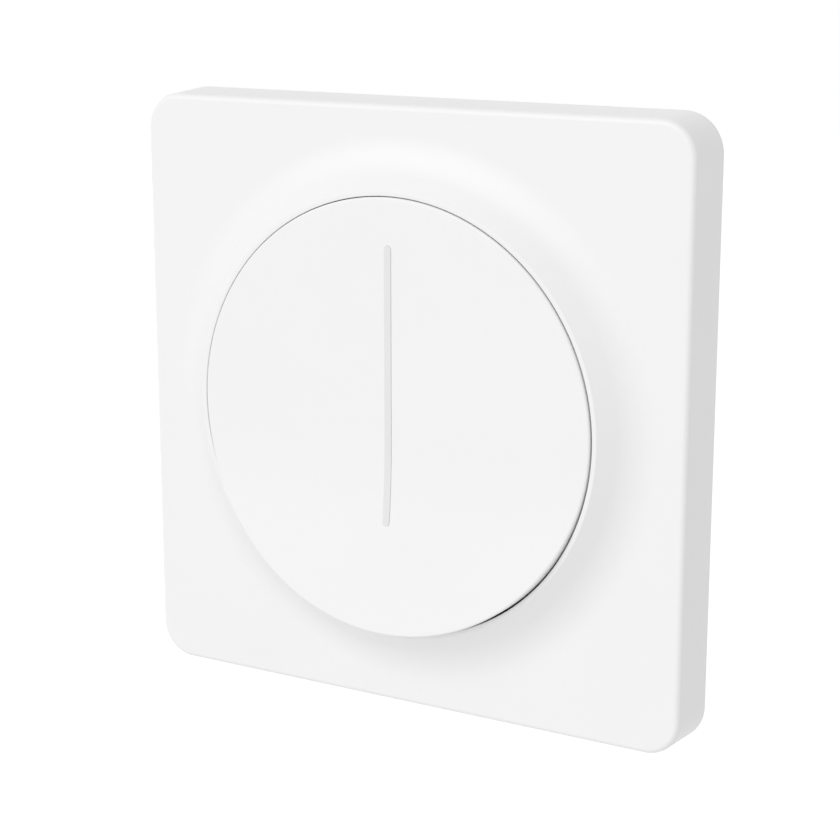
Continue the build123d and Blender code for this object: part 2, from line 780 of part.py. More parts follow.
with BuildPart() as terminal_block:
    block(
        wall, block_width, block_top - block_bottom, housing_floor, block_front,
        0, (block_top + block_bottom) / 2,
    )
    for x in terminal_columns:
        block(
            wall, chamber_width, chamber_length, chamber_back, block_front,
            x, chamber_z, mode=Mode.SUBTRACT,
        )
        block(
            wall, way_width, block_entry_wall, way_back - wire_gap, block_front,
            x, (block_bottom + chamber_bottom) / 2, mode=Mode.SUBTRACT,
        )
        block(
            wall, contact_width + 2 * contact_gap, block_back_wall, contact_back - contact_gap, block_front,
            x, (chamber_top + block_top) / 2, mode=Mode.SUBTRACT,
        )
        rod(
            wall, clamp_head_r + clamp_head_gap, housing_floor, head_seat,
            x, chamber_z, mode=Mode.SUBTRACT,
        )
        rod(
            wall, clamp_screw_r + clamp_head_gap, head_seat, chamber_back,
            x, chamber_z, mode=Mode.SUBTRACT,
        )
terminal_block.part.label = "terminal_block"
export_step(terminal_block.part, "parts/terminal_block.step")

with BuildPart() as contact_bars:
    for x in terminal_columns:
        block(
            wall, contact_width, contact_top - contact_bottom, contact_back, contact_front,
            x, (contact_top + contact_bottom) / 2,
        )
        block(
            wall, contact_width, contact_thickness, contact_front, power_board_front + contact_tail,
            x, contact_top - contact_thickness / 2,
        )
contact_bars.part.label = "contact_bars"
export_step(contact_bars.part, "parts/contact_bars.step")

for number, x in enumerate(terminal_columns, start=1):
    with BuildPart() as terminal_screw:
        rod(wall, clamp_head_r, head_seat - clamp_head_depth, head_seat, x, chamber_z)
        rod(wall, clamp_screw_r, head_seat, contact_back - clamp_thread_gap, x, chamber_z)
        block(
            wall, 2 * clamp_head_r, clamp_slot_width,
            head_seat - clamp_head_depth, head_seat - clamp_head_depth + clamp_slot_depth,
            x, chamber_z, mode=Mode.SUBTRACT,
        )
    terminal_screw.part.label = f"terminal_screw_{number}"
    export_step(terminal_screw.part, f"parts/terminal_screw_{number}.step")

    with BuildPart() as terminal_cage:
        block(wall, cage_width, cage_length, cage_back, cage_front, x, chamber_z)
        block(
            wall, cage_width - 2 * cage_wall, cage_length, nut_front, cage_floor_back,
            x, chamber_z, mode=Mode.SUBTRACT,
        )
        rod(
            wall, clamp_screw_r + clamp_thread_gap, cage_back, nut_front,
            x, chamber_z, mode=Mode.SUBTRACT,
        )
    terminal_cage.part.label = f"terminal_cage_{number}"
    export_step(terminal_cage.part, f"parts/terminal_cage_{number}.step")

# Rear housing: the box in the wall, with corner bosses, board ribs, vents and terminal openings
window_width = terminal_columns[-1] - terminal_columns[0] + way_width
rib_x = housing_inner - board_rib_reach / 2
inner_size = 2 * housing_inner

with BuildPart() as rear_housing:
    with BuildSketch(wall):
        RectangleRounded(housing_size, housing_size, housing_corner)
    extrude(amount=-housing_depth)
    fillet(rear_housing.faces().sort_by(Axis.Y)[-1].edges(), housing_edge_round)
    with BuildSketch(wall):
        RectangleRounded(inner_size, inner_size, housing_corner - housing_wall)
    extrude(amount=housing_floor, mode=Mode.SUBTRACT)
    for x, z in base_screw_places:
        rod(wall, base_boss_r, -base_boss_depth, 0, x, z)
        rod(
            wall, base_screw_r + pilot_clearance, -base_screw_bite - over, 0,
            x, z, mode=Mode.SUBTRACT,
        )
    for side in sides:
        for row in sides:
            block(
                wall, board_rib_reach, board_rib_width, housing_floor, power_board_back,
                side * rib_x, row * board_rib_z,
            )
    block(
        wall, window_width, 2 * housing_wall, way_back, way_front,
        0, -housing_size / 2, mode=Mode.SUBTRACT,
    )
    for x in terminal_columns:
        rod(wall, driver_hole_r, housing_back, housing_floor, x, chamber_z, mode=Mode.SUBTRACT)
    with BuildSketch(wall.offset(housing_back)):
        with Locations(*[(0, row + vent_up) for row in spaced(vent_count, vent_pitch)]):
            SlotOverall(vent_length, vent_width)
    extrude(amount=housing_wall, mode=Mode.SUBTRACT)
rear_housing.part.label = "rear_housing"
export_step(rear_housing.part, "parts/rear_housing.step")

# Power board, clamped between the cover's posts and the housing's ribs
power_board_size = inner_size - 2 * power_board_clearance
with BuildPart() as power_board:
    with BuildSketch(wall.offset(power_board_back)):
        RectangleRounded(power_board_size, power_board_size, housing_corner - housing_wall)
        with Locations(*base_screw_places):
            Circle(base_boss_r + boss_notch_gap, mode=Mode.SUBTRACT)
        with Locations(*[(x, contact_top - contact_thickness / 2) for x in terminal_columns]):
            Rectangle(
                contact_width + 2 * contact_gap, contact_thickness + 2 * contact_gap,
                mode=Mode.SUBTRACT,
            )
    extrude(amount=power_board_thickness)
power_board.part.label = "power_board"
export_step(power_board.part, "parts/power_board.step")

# Heat sink with fins, and two power transistors flat against it
heat_sink_top = housing_inner - heat_sink_wall_gap
heat_sink_back = housing_floor + heat_sink_floor_gap
heat_sink_width = 2 * (base_screw_x - base_boss_r - heat_sink_boss_gap)
fin_height = heat_sink_top - heat_sink_z - heat_sink_base
fin_pitch = (heat_sink_width - heat_sink_fin) / (heat_sink_fins - 1)
with BuildPart() as heat_sink:
    with BuildSketch(wall.offset(power_board_back)):
        with Locations((0, heat_sink_z + heat_sink_base / 2)):
            Rectangle(heat_sink_width, heat_sink_base)
        with Locations((0, heat_sink_z + heat_sink_base + fin_height / 2)):
            with GridLocations(fin_pitch, 0, heat_sink_fins, 1):
                Rectangle(heat_sink_fin, fin_height)
    extrude(amount=heat_sink_back - power_board_back)
heat_sink.part.label = "heat_sink"
export_step(heat_sink.part, "parts/heat_sink.step")

body_front = power_board_back - transistor_lift
tab_z = heat_sink_z - transistor_tab / 2
body_z = heat_sink_z - transistor_tab - transistor_thickness / 2
tab_back = heat_sink_back + transistor_end_gap
body_back = tab_back + transistor_tab_free
hole_level = (tab_back + body_back) / 2
with BuildPart() as power_transistors:
    for side in sides:
        x = side * transistor_x
        block(wall, transistor_width, transistor_tab, tab_back, body_front, x, tab_z)
        block(wall, transistor_width, transistor_thickness, body_back, body_front, x, body_z)
        with Locations((x, -hole_level, tab_z)):
            Cylinder(transistor_hole_r, 2 * transistor_tab, mode=Mode.SUBTRACT)
        for leg in (-1, 0, 1):
            block(
                wall, transistor_leg_width, transistor_leg_depth, body_front, power_board_back,
                x + leg * transistor_leg_pitch, body_z,
            )
power_transistors.part.label = "power_transistors"
export_step(power_transistors.part, "parts/power_transistors.step")

# Filter choke: a drum core with its winding
choke_back = power_board_back - choke_height
with BuildPart() as filter_choke:
    rod(wall, choke_r, power_board_back - choke_flange, power_board_back, choke_x)
    rod(wall, choke_core_r, choke_back + choke_flange, power_board_back - choke_flange, choke_x)
    rod(wall, choke_r, choke_back, choke_back + choke_flange, choke_x)
filter_choke.part.label = "filter_choke"
export_step(filter_choke.part, "parts/filter_choke.step")

# Bulk capacitor: a rolled can with a crimp near its foot
can_crimp = power_board_back - can_groove_up
with BuildPart() as bulk_capacitor:
    rod(wall, can_r, power_board_back - can_height, can_crimp - can_round, can_x)
    fillet(bulk_capacitor.edges().sort_by(Axis.Y)[-1], can_round)
    rod(wall, can_r - can_groove, can_crimp - can_round, can_crimp, can_x)
    rod(wall, can_r, can_crimp, power_board_back, can_x)
bulk_capacitor.part.label = "bulk_capacitor"
export_step(bulk_capacitor.part, "parts/bulk_capacitor.step")

# Film capacitor, fuse, varistor and bridge rectifier, in rows above the contact bars
small_part_z = contact_top + small_part_up
film_z = small_part_z + film_up
with BuildPart() as film_capacitor:
    block(wall, film_width, film_depth, power_board_back - film_height, power_board_back, 0, film_z)
    fillet(film_capacitor.edges().filter_by(Axis.Y), film_round)
film_capacitor.part.label = "film_capacitor"
export_step(film_capacitor.part, "parts/film_capacitor.step")

with BuildPart() as fuse:
    rod(wall, fuse_r, power_board_back - fuse_height, power_board_back, fuse_x, small_part_z)
fuse.part.label = "fuse"
export_step(fuse.part, "parts/fuse.step")

varistor_level = power_board_back - varistor_lift - varistor_r
with BuildPart() as varistor:
    with Locations((varistor_x, -varistor_level, small_part_z)):
        Cylinder(varistor_r, varistor_thickness)
    for side in sides:
        block(
            wall, transistor_leg_width, transistor_leg_depth, varistor_level, power_board_back,
            varistor_x + side * varistor_r / 2, small_part_z,
        )
varistor.part.label = "varistor"
export_step(varistor.part, "parts/varistor.step")

with BuildPart() as bridge_rectifier:
    block(
        wall, rectifier_width, rectifier_height, power_board_front, power_board_front + rectifier_depth,
        rectifier_x, small_part_z,
    )
bridge_rectifier.part.label = "bridge_rectifier"
export_step(bridge_rectifier.part, "parts/bridge_rectifier.step")
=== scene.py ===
import json
from math import atan2, cos, pi, radians, sin, sqrt, tan

import bmesh
import bpy
from bpy.props import FloatProperty, FloatVectorProperty, PointerProperty
from bpy.types import NodeSocket, Operator, Panel, PropertyGroup
from mathutils import Matrix, Vector

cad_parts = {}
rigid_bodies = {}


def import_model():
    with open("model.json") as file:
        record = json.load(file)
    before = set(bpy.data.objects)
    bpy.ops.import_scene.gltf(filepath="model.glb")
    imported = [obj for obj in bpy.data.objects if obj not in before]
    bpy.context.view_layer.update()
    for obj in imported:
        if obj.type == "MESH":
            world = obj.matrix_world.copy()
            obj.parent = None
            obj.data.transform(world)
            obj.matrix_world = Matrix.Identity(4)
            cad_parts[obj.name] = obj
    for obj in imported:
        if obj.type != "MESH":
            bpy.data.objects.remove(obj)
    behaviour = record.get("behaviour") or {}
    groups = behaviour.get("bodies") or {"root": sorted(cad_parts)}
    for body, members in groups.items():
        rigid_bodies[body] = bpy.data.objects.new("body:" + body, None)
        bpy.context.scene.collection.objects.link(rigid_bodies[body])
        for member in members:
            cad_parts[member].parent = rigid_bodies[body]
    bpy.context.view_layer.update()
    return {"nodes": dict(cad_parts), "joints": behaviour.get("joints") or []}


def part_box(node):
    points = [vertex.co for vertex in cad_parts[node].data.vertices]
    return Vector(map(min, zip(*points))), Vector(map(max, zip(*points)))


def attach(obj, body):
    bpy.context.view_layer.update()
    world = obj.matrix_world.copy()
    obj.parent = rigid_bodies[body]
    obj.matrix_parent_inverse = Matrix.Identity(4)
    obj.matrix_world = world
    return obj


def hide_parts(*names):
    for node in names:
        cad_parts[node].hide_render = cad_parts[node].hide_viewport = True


bl_info = {
    "name": "Smart touch dimmer switch",
    "version": (1, 0, 0),
    "blender": (4, 5, 0),
    "location": "View3D > Sidebar > Dimmer",
    "description": "Models and finishes a wall dimmer with a round press plate and a touch bar",
    "category": "Object",
}

# The scene starts empty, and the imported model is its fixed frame.
# X runs to the right, Z up and Y into the wall, in metres. A level is a distance in front of the wall.
for leftover in list(bpy.data.objects):
    bpy.data.objects.remove(leftover)
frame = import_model()
joints = {joint["name"]: joint for joint in frame["joints"]}

MM = 0.001
frame_low, frame_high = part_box("cover_frame")
plate_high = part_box("press_plate")[1]
hinge = Vector(joints["plate_press"]["pos_m"])
press_lean = radians(joints["plate_press"]["range_deg"][1])


def linear(code):
    """An sRGB hex colour as linear red, green and blue, with full opacity."""
    channels = [int(code[i:i + 2], 16) / 255 for i in (1, 3, 5)]
    return [c / 12.92 if c <= 0.04045 else ((c + 0.055) / 1.055) ** 2.4 for c in channels] + [1.0]


def length(name, description, size):
    """A length that a user can change, in metres."""
    return FloatProperty(
        name=name, description=description, default=size, min=0.0,
        subtype="DISTANCE", unit="LENGTH", precision=5,
    )


def angle(name, description, degrees):
    """An angle that a user can change."""
    return FloatProperty(
        name=name, description=description, default=radians(degrees), subtype="ANGLE", unit="ROTATION",
    )


def colour(name, description, code):
    """A colour that a user can change, given as an sRGB hex code."""
    return FloatVectorProperty(
        name=name, description=description, default=linear(code), size=4, min=0.0, max=1.0, subtype="COLOR",
    )


class CoverFrameSizes(PropertyGroup):
    """Sizes of the square plate and its round collar"""

    half: length("Half width", "From the middle to an edge at the wall", frame_high.x)
    face_level: length("Face level", "Flat face in front of the wall", 8.17 * MM)
    corner: length("Corner radius", "Radius of the corners at the wall", 5.5 * MM)
    draft: angle("Draft", "Lean of the sides", 3.5)
    edge_round: length("Edge radius", "Round between the sides and the face", 0.8 * MM)
    back_round: length("Back radius", "Round of the edge at the wall", 0.15 * MM)
    skirt_wall: length("Skirt wall", "Thickness of the sides at the wall", 2.0 * MM)
    face_wall: length("Face wall", "Thickness of the face", 1.8 * MM)
    border: length("Border", "Flat border between the collar's foot and an edge", 4.4 * MM)
    rim_level: length("Rim level", "Top of the collar in front of the wall", -frame_low.y)
    rim_land: length("Rim land", "Flat width of the collar's rim", 0.65 * MM)
    rim_round: length("Rim radius", "Round of the rim's edges", 0.15 * MM)
    flare_slope: angle("Flare slope", "Lean of the collar's side", 40.0)
    flare_run: length("Flare run", "Reach of the curve that blends the collar into the face", 2.96 * MM)
    collar_wall: length("Collar wall", "Thickness of the collar", 1.5 * MM)


class PressPlateSizes(PropertyGroup):
    """Sizes of the round press plate and its bar"""

    radius: length("Radius", "Radius of the round plate", plate_high.x)
    plane_level: length("Plane level", "Middle of the plate's own plane in front of the wall", 12.36 * MM)
    face_level: length("Face level", "Flat part of the face in front of the wall", 12.05 * MM)
    lip_start: length("Lip start", "From the middle down to where the face starts to bend out", 3.0 * MM)
    lip_bend: length("Lip bend", "Radius of the bend into the finger lip", 100.0 * MM)
    lip_slope: angle("Lip slope", "Lean of the finger lip", 6.2)
    edge_round: length("Edge radius", "Round of the face's edge", 0.3 * MM)
    rise: length("Rise", "Middle of the round plate over the middle of the collar", 0.1 * MM)
    ceiling: length("Ceiling", "From the plate's own plane to the ceiling of its hollow", 2.0 * MM)
    depth: length("Depth", "From the plate's own plane to the foot of its round side", 4.6 * MM)
    side_wall: length("Side wall", "Thickness of the round side", 1.6 * MM)
    bar_top_gap: length("Bar top gap", "From the plate's edge to the bar's top", 6.4 * MM)
    bar_bottom_gap: length("Bar bottom gap", "From the plate's edge to the bar's bottom", 15.5 * MM)
    bar_width: length("Bar width", "Width of the light bar", 1.08 * MM)
    bar_proud: length("Bar proud", "How far the bar stands over the face", 0.1 * MM)
    bar_clearance: length("Bar clearance", "Gap beside the bar in its slot", 0.012 * MM)


class FinishColours(PropertyGroup):
    """Colours of the finishes"""

    shell: colour("Shell", "Cover frame and press plate", "#EFEFEF")
    bar: colour("Light bar", "Frosted diffuser of the bar", "#E3E3E3")
    inner: colour("Inner plastic", "Chassis and key plunger", "#DEDEDA")
    housing: colour("Housing", "Rear housing and base cover", "#C9CBCC")
    dark: colour("Dark plastic", "Switch case, sockets and chips", "#26272A")
    terminal: colour("Terminal plastic", "Terminal block", "#3E8A56")
    board: colour("Board", "Solder mask of the circuit boards", "#1C6B42")
    track: colour("Track", "Copper tracks under the solder mask", "#2F8757")
    zinc: colour("Zinc", "Plated steel of the bracket, cages and screws", "#C4C9CE")
    brass: colour("Brass", "Contact bars", "#D9B566")
    tin: colour("Tin", "Shield can and part ends", "#CFCFCB")
    aluminium: colour("Aluminium", "Heat sink", "#D3D5D8")
    ribbon: colour("Ribbon", "Amber film of the flat cable", "#C98A2B")
    copper: colour("Copper", "Enamelled winding of the choke", "#A85A2A")
    sleeve: colour("Sleeve", "Shrunk sleeve of the bulk capacitor", "#20264A")
    film_case: colour("Film case", "Dipped case of the film capacitor", "#A8341F")
    varistor: colour("Varistor", "Lacquer of the varistor", "#2E5FA8")
    phosphor: colour("Phosphor", "Lenses of the light-emitting diodes", "#F1E7B4")
    ceramic: colour("Ceramic", "Bodies of the small surface parts", "#B79B77")


class StageSettings(PropertyGroup):
    """Camera, light and floor"""

    lens: FloatProperty(name="Lens", description="Focal length in mm", default=88.775, min=1.0)
    target: FloatVectorProperty(
        name="Target", description="Point that the camera looks at", subtype="XYZ", unit="LENGTH",
        default=(-1.912 * MM, 0.0, -2.778 * MM),
    )
    distance: length("Distance", "From the camera to its target", 295.83 * MM)
    azimuth: angle("Azimuth", "Turn of the camera from the front to the right", 30.10)
    elevation: angle("Elevation", "Height of the camera above the horizon", 13.72)
    ambient: FloatProperty(name="Ambient", description="Even light from all round", default=0.68, min=0.0)
    key_strength: FloatProperty(name="Key", description="Strength of the soft lamp", default=1.12, min=0.0)
    key_azimuth: angle("Key azimuth", "Turn of the lamp from the front to the right", -17.8)
    key_elevation: angle("Key elevation", "Height of the lamp above the horizon", 30.3)
    key_spread: angle("Key spread", "Apparent size of the soft lamp", 55.0)
    floor_drop: length("Floor drop", "Floor below the middle of the plate", 280.0 * MM)
    floor_size: length("Floor size", "Width of the floor", 6.0)
    floor_colour: colour("Floor colour", "Plain pale floor", "#F4F4F4")
    floor_lift: FloatProperty(
        name="Floor lift", description="Light that the floor shows by itself", default=0.27,
    )


# Places on the wall plate and on the press plate
def on_wall(x, z, level):
    """A place whose Z axis points out of the wall and whose Y axis points up."""
    return Matrix(((1, 0, 0, x), (0, 0, -1, -level), (0, 1, 0, z), (0, 0, 0, 1)))


def into_wall(x, y, z):
    """A place whose Z axis points into the wall."""
    return Matrix.Translation((x, y, z)) @ Matrix.Rotation(-pi / 2, 4, "X")


def across(x, y, z):
    """A place whose Z axis points to the right."""
    return Matrix.Translation((x, y, z)) @ Matrix.Rotation(pi / 2, 4, "Y")


def press_plane(sizes):
    """The place of the press plate's own plane, which leans at rest: Z out of it, Y up along it."""
    return Matrix((
        (1, 0, 0, 0),
        (0, sin(press_lean), -cos(press_lean), -sizes.plane_level),
        (0, cos(press_lean), sin(press_lean), 0),
        (0, 0, 0, 1),
    ))


# Mesh building
def add_skin(bm, rings, wrap=False, caps=False):
    """Draw a surface over rings of points, joined to the first again or closed by caps."""
    loops = [[bm.verts.new(point) for point in ring] for ring in rings]
    pairs = list(zip(loops, loops[1:]))
    if wrap:
        pairs.append((loops[-1], loops[0]))
    for near, far in pairs:
        for i, start in enumerate(near):
            j = (i + 1) % len(near)
            bm.faces.new((start, near[j], far[j], far[i]))
    if caps:
        bm.faces.new(loops[0])
        bm.faces.new(loops[-1])
    return loops


def round_edges(bm, edges, edge_round):
    """Round some edges of a mesh, as far as its faces leave room."""
    bmesh.ops.bevel(
        bm, geom=list(edges), offset=edge_round, offset_type="OFFSET", segments=2, profile=0.5,
        affect="EDGES", clamp_overlap=True,
    )


def add_block(bm, low, high, edge_round=0.0, place=Matrix.Identity(4)):
    """Add a box between two corners of a place, with its edges rounded."""
    size = Vector(high) - Vector(low)
    middle = (Vector(high) + Vector(low)) / 2
    made = bmesh.ops.create_cube(bm, matrix=place @ Matrix.LocRotScale(middle, None, size))
    if edge_round:
        edges = dict.fromkeys(edge for vert in made["verts"] for edge in vert.link_edges)
        round_edges(bm, edges, edge_round)


def circle(radius, height, steps):
    """Points of a circle about Z."""
    turns = [2 * pi * i / steps for i in range(steps)]
    return [Vector((radius * cos(turn), radius * sin(turn), height)) for turn in turns]


def add_turned(bm, profile, place, steps=48):
    """Add a turned solid from (radius, height) pairs, about the Z axis of a place."""
    rings = [[place @ point for point in circle(radius, height, steps)] for radius, height in profile]
    add_skin(bm, rings, caps=True)


def add_thread(bm, radius, depth, pitch, low, high, place, steps=32, rows=8):
    """Add a threaded shank from one height to another, with a tapered start at its low end."""
    rings = []
    count = round((high - low) / pitch * rows)
    for row in range(count + 1):
        height = low + (high - low) * row / count
        fade = min(1.0, (height - low) / pitch)
        ring = []
        for i in range(steps):
            phase = (height / pitch - i / steps) % 1.0
            ridge = 1 - abs(2 * phase - 1)
            here = radius - depth * (1 - ridge * fade)
            turn = 2 * pi * i / steps
            ring.append(place @ Vector((here * cos(turn), here * sin(turn), height)))
        rings.append(ring)
    add_skin(bm, rings, caps=True)


def arc(middle, radius, start, end, steps):
    """Points of an arc in a profile, as (across, up) pairs from one angle to another."""
    angles = [start + (end - start) * i / steps for i in range(steps + 1)]
    return [(middle[0] + radius * cos(a), middle[1] + radius * sin(a)) for a in angles]


def new_piece(name, bm):
    """A new object from a finished mesh, with all its faces looking outwards."""
    bmesh.ops.recalc_face_normals(bm, faces=bm.faces)
    mesh = bpy.data.meshes.new(name)
    bm.to_mesh(mesh)
    bm.free()
    piece = bpy.data.objects.new(name, mesh)
    bpy.context.scene.collection.objects.link(piece)
    return piece


def combine(piece, tool, operation):
    """Join a tool's solids to a piece, or cut them from it, and drop the tool."""
    step = piece.modifiers.new("combine", "BOOLEAN")
    step.operation = operation
    step.object = tool
    step.solver = "EXACT"
    step.use_self = True
    graph = bpy.context.evaluated_depsgraph_get()
    done = bpy.data.meshes.new_from_object(piece.evaluated_get(graph))
    if not done.polygons:
        raise RuntimeError(f"{piece.name}: nothing is left after a cut")
    piece.modifiers.clear()
    piece.data = done
    bpy.data.objects.remove(tool)


SHARP_ANGLE = radians(32)


def dress(piece, body, slot, finish_name, *replaced):
    """Shade a piece, give it its finish and its body, and let it stand for CAD nodes."""
    mesh = piece.data
    mesh.materials.clear()
    mesh.materials.append(finish(finish_name))
    mesh.polygons.foreach_set("use_smooth", [True] * len(mesh.polygons))
    mesh.set_sharp_from_angle(angle=SHARP_ANGLE)
    even = piece.modifiers.new("even_normals", "WEIGHTED_NORMAL")
    even.keep_sharp = True
    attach(piece, body)
    if replaced:
        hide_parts(*replaced)


def soften(node, body, slot, finish_name, edge_round):
    """Stand a copy with rounded edges in for a CAD node."""
    weld_within = 0.002 * MM
    flat_within = radians(0.3)
    sharp_over = radians(35)
    bm = bmesh.new()
    bm.from_mesh(frame["nodes"][node].data)
    bmesh.ops.remove_doubles(bm, verts=bm.verts, dist=weld_within)
    bmesh.ops.dissolve_limit(bm, angle_limit=flat_within, verts=bm.verts, edges=bm.edges)
    round_edges(bm, [edge for edge in bm.edges if edge.calc_face_angle(0.0) > sharp_over], edge_round)
    dress(new_piece(node + "_softened", bm), body, slot, finish_name, node)


def paint(node, finish_name):
    """Give a CAD node that stays as it is its finish."""
    for place in frame["nodes"][node].material_slots:
        place.material = finish(finish_name)


# Materials
def fill(tree, node, inputs):
    """Set or link a node's inputs."""
    for key, value in inputs.items():
        if isinstance(value, NodeSocket):
            tree.links.new(value, node.inputs[key])
        else:
            node.inputs[key].default_value = value


def add_node(tree, kind, inputs, output=0, **settings):
    """Add a shader node with its settings and inputs, and give one of its outputs."""
    node = tree.nodes.new("ShaderNode" + kind)
    for name, value in settings.items():
        setattr(node, name, value)
    fill(tree, node, inputs)
    return node.outputs[output]


def start_material(name, **shader_inputs):
    """A new material, its node tree and the place on the object in millimetres."""
    material = bpy.data.materials.new(name)
    material.use_nodes = True
    tree = material.node_tree
    fill(tree, tree.nodes["Principled BSDF"], {key.replace("_", " "): v for key, v in shader_inputs.items()})
    place = add_node(tree, "TexCoord", {}, output="Object")
    in_mm = add_node(tree, "VectorMath", {0: place, "Scale": 1 / MM}, operation="SCALE")
    return material, tree, in_mm


def finish_material(material, **shader_inputs):
    """Link the patterns of a material to its shader."""
    shader = material.node_tree.nodes["Principled BSDF"]
    fill(material.node_tree, shader, {key.replace("_", " "): v for key, v in shader_inputs.items()})
    return material


def moulded(name, base, roughness, ior, grain_mm, grain_depth_mm, cloud_mm=18.0, cloud_share=0.012):
    """A moulded plastic: fine grain from the tool, faint clouds in its colour and its gloss."""
    low_gloss = roughness - 0.05
    high_gloss = roughness + 0.05
    material, tree, place = start_material(name, IOR=ior)
    grain = add_node(tree, "TexNoise", {"Vector": place, "Scale": 1 / grain_mm, "Detail": 3.0})
    cloud = add_node(tree, "TexNoise", {"Vector": place, "Scale": 1 / cloud_mm, "Detail": 2.0})
    value = add_node(tree, "MapRange", {0: cloud, 3: 1 - cloud_share, 4: 1 + cloud_share})
    tint = add_node(tree, "HueSaturation", {"Value": value, "Color": base})
    gloss = add_node(tree, "MapRange", {0: grain, 3: low_gloss, 4: high_gloss})
    bump = add_node(tree, "Bump", {"Height": grain, "Distance": grain_depth_mm * MM, "Strength": 1.0})
    return finish_material(material, Base_Color=tint, Roughness=gloss, Normal=bump)


def plated(name, base, roughness, streak_mm, streak_ratio, depth_mm, along="X"):
    """A metal sheet or bar: streaks along the way it was rolled, drawn or turned."""
    cloud_mm = 6.0
    low_gloss = roughness - 0.10
    high_gloss = roughness + 0.10
    material, tree, place = start_material(name, Metallic=1.0)
    stretch = [1.0 / streak_ratio if axis == along else 1.0 for axis in "XYZ"]
    drawn = add_node(tree, "Mapping", {"Vector": place, "Scale": stretch})
    streaks = add_node(tree, "TexNoise", {"Vector": drawn, "Scale": 1 / streak_mm, "Detail": 4.0})
    cloud = add_node(tree, "TexNoise", {"Vector": place, "Scale": 1 / cloud_mm, "Detail": 3.0})
    value = add_node(tree, "MapRange", {0: cloud, 3: 0.90, 4: 1.06})
    tint = add_node(tree, "HueSaturation", {"Value": value, "Color": base})
    gloss = add_node(tree, "MapRange", {0: streaks, 3: low_gloss, 4: high_gloss})
    bump = add_node(tree, "Bump", {"Height": streaks, "Distance": depth_mm * MM, "Strength": 1.0})
    return finish_material(material, Base_Color=tint, Roughness=gloss, Normal=bump)


def satin_polycarbonate(colours):
    """Polycarbonate from a fine blasted tool: an even satin white that softens every reflection.

    The real grain is about 0.05 mm. It is drawn at 0.3 mm, so that it shows in a close view."""
    return moulded(
        "satin_polycarbonate", colours.shell, roughness=0.42, ior=1.58,
        grain_mm=0.3, grain_depth_mm=0.0012,
    )


def frosted_acrylic(colours):
    """Frosted acrylic: a little greyer and duller than the shell, because light sinks into it."""
    return moulded(
        "frosted_acrylic", colours.bar, roughness=0.55, ior=1.49,
        grain_mm=0.2, grain_depth_mm=0.002, cloud_mm=6.0,
    )


def plain_abs(colours):
    """Unpolished ABS: a warm off-white with the faint waves of its flow."""
    return moulded(
        "plain_abs", colours.inner, roughness=0.5, ior=1.54,
        grain_mm=0.5, grain_depth_mm=0.003, cloud_mm=9.0, cloud_share=0.02,
    )


def spark_eroded_polycarbonate(colours):
    """Polycarbonate from a spark-eroded tool: a coarse matt grain of about 0.25 mm."""
    return moulded(
        "spark_eroded_polycarbonate", colours.housing, roughness=0.6, ior=1.58,
        grain_mm=0.25, grain_depth_mm=0.012,
    )


def black_nylon(colours):
    """Glass-filled nylon: near black with a dry, slightly streaky surface."""
    return moulded(
        "black_nylon", colours.dark, roughness=0.5, ior=1.53,
        grain_mm=0.2, grain_depth_mm=0.004, cloud_mm=3.0, cloud_share=0.08,
    )


def green_polyamide(colours):
    """Moulded polyamide: a clear mid green with a soft shine."""
    return moulded(
        "green_polyamide", colours.terminal, roughness=0.4, ior=1.53,
        grain_mm=0.3, grain_depth_mm=0.003, cloud_mm=4.0, cloud_share=0.05,
    )


def dipped_epoxy(colours):
    """Epoxy that a part was dipped in: a smooth glossy coat with slow waves."""
    return moulded(
        "dipped_epoxy", colours.film_case, roughness=0.22, ior=1.55,
        grain_mm=1.2, grain_depth_mm=0.01, cloud_mm=3.0, cloud_share=0.06,
    )


def varistor_lacquer(colours):
    """Dipped lacquer: blue, glossy and a little uneven."""
    return moulded(
        "varistor_lacquer", colours.varistor, roughness=0.25, ior=1.52,
        grain_mm=1.0, grain_depth_mm=0.01, cloud_mm=3.0, cloud_share=0.06,
    )


def shrunk_sleeve(colours):
    """Shrunk PVC sleeve: thin, glossy and dark, with small ripples."""
    return moulded(
        "shrunk_sleeve", colours.sleeve, roughness=0.25, ior=1.53,
        grain_mm=0.8, grain_depth_mm=0.006, cloud_mm=5.0, cloud_share=0.05,
    )


def silicone_lens(colours):
    """Phosphor in silicone: a pale yellow with a wet shine."""
    return moulded(
        "silicone_lens", colours.phosphor, roughness=0.25, ior=1.41,
        grain_mm=0.3, grain_depth_mm=0.003, cloud_mm=0.8, cloud_share=0.06,
    )


def fired_ceramic(colours):
    """Fired ceramic of small surface parts: a dull tan with a fine grain."""
    return moulded(
        "fired_ceramic", colours.ceramic, roughness=0.55, ior=1.7,
        grain_mm=0.08, grain_depth_mm=0.002, cloud_mm=1.5, cloud_share=0.12,
    )


def zinc_plated_sheet(colours):
    """Rolled steel with bright zinc: a cool grey with fine lines along the rolling."""
    return plated(
        "zinc_plated_sheet", colours.zinc, roughness=0.34,
        streak_mm=0.25, streak_ratio=24.0, depth_mm=0.002,
    )


def zinc_plated_screw(colours):
    """Headed and rolled screw with bright zinc: as the sheet, with a finer surface."""
    return plated(
        "zinc_plated_screw", colours.zinc, roughness=0.28,
        streak_mm=0.2, streak_ratio=4.0, depth_mm=0.002, along="Y",
    )


def stamped_brass(colours):
    """Stamped brass strip: a warm yellow with lines along the strip."""
    return plated(
        "stamped_brass", colours.brass, roughness=0.26,
        streak_mm=0.2, streak_ratio=16.0, depth_mm=0.002, along="Z",
    )


def tinned_steel(colours):
    """Tinned steel: a pale grey, soft shine with faint crystals."""
    return plated(
        "tinned_steel", colours.tin, roughness=0.36,
        streak_mm=0.6, streak_ratio=2.0, depth_mm=0.002,
    )


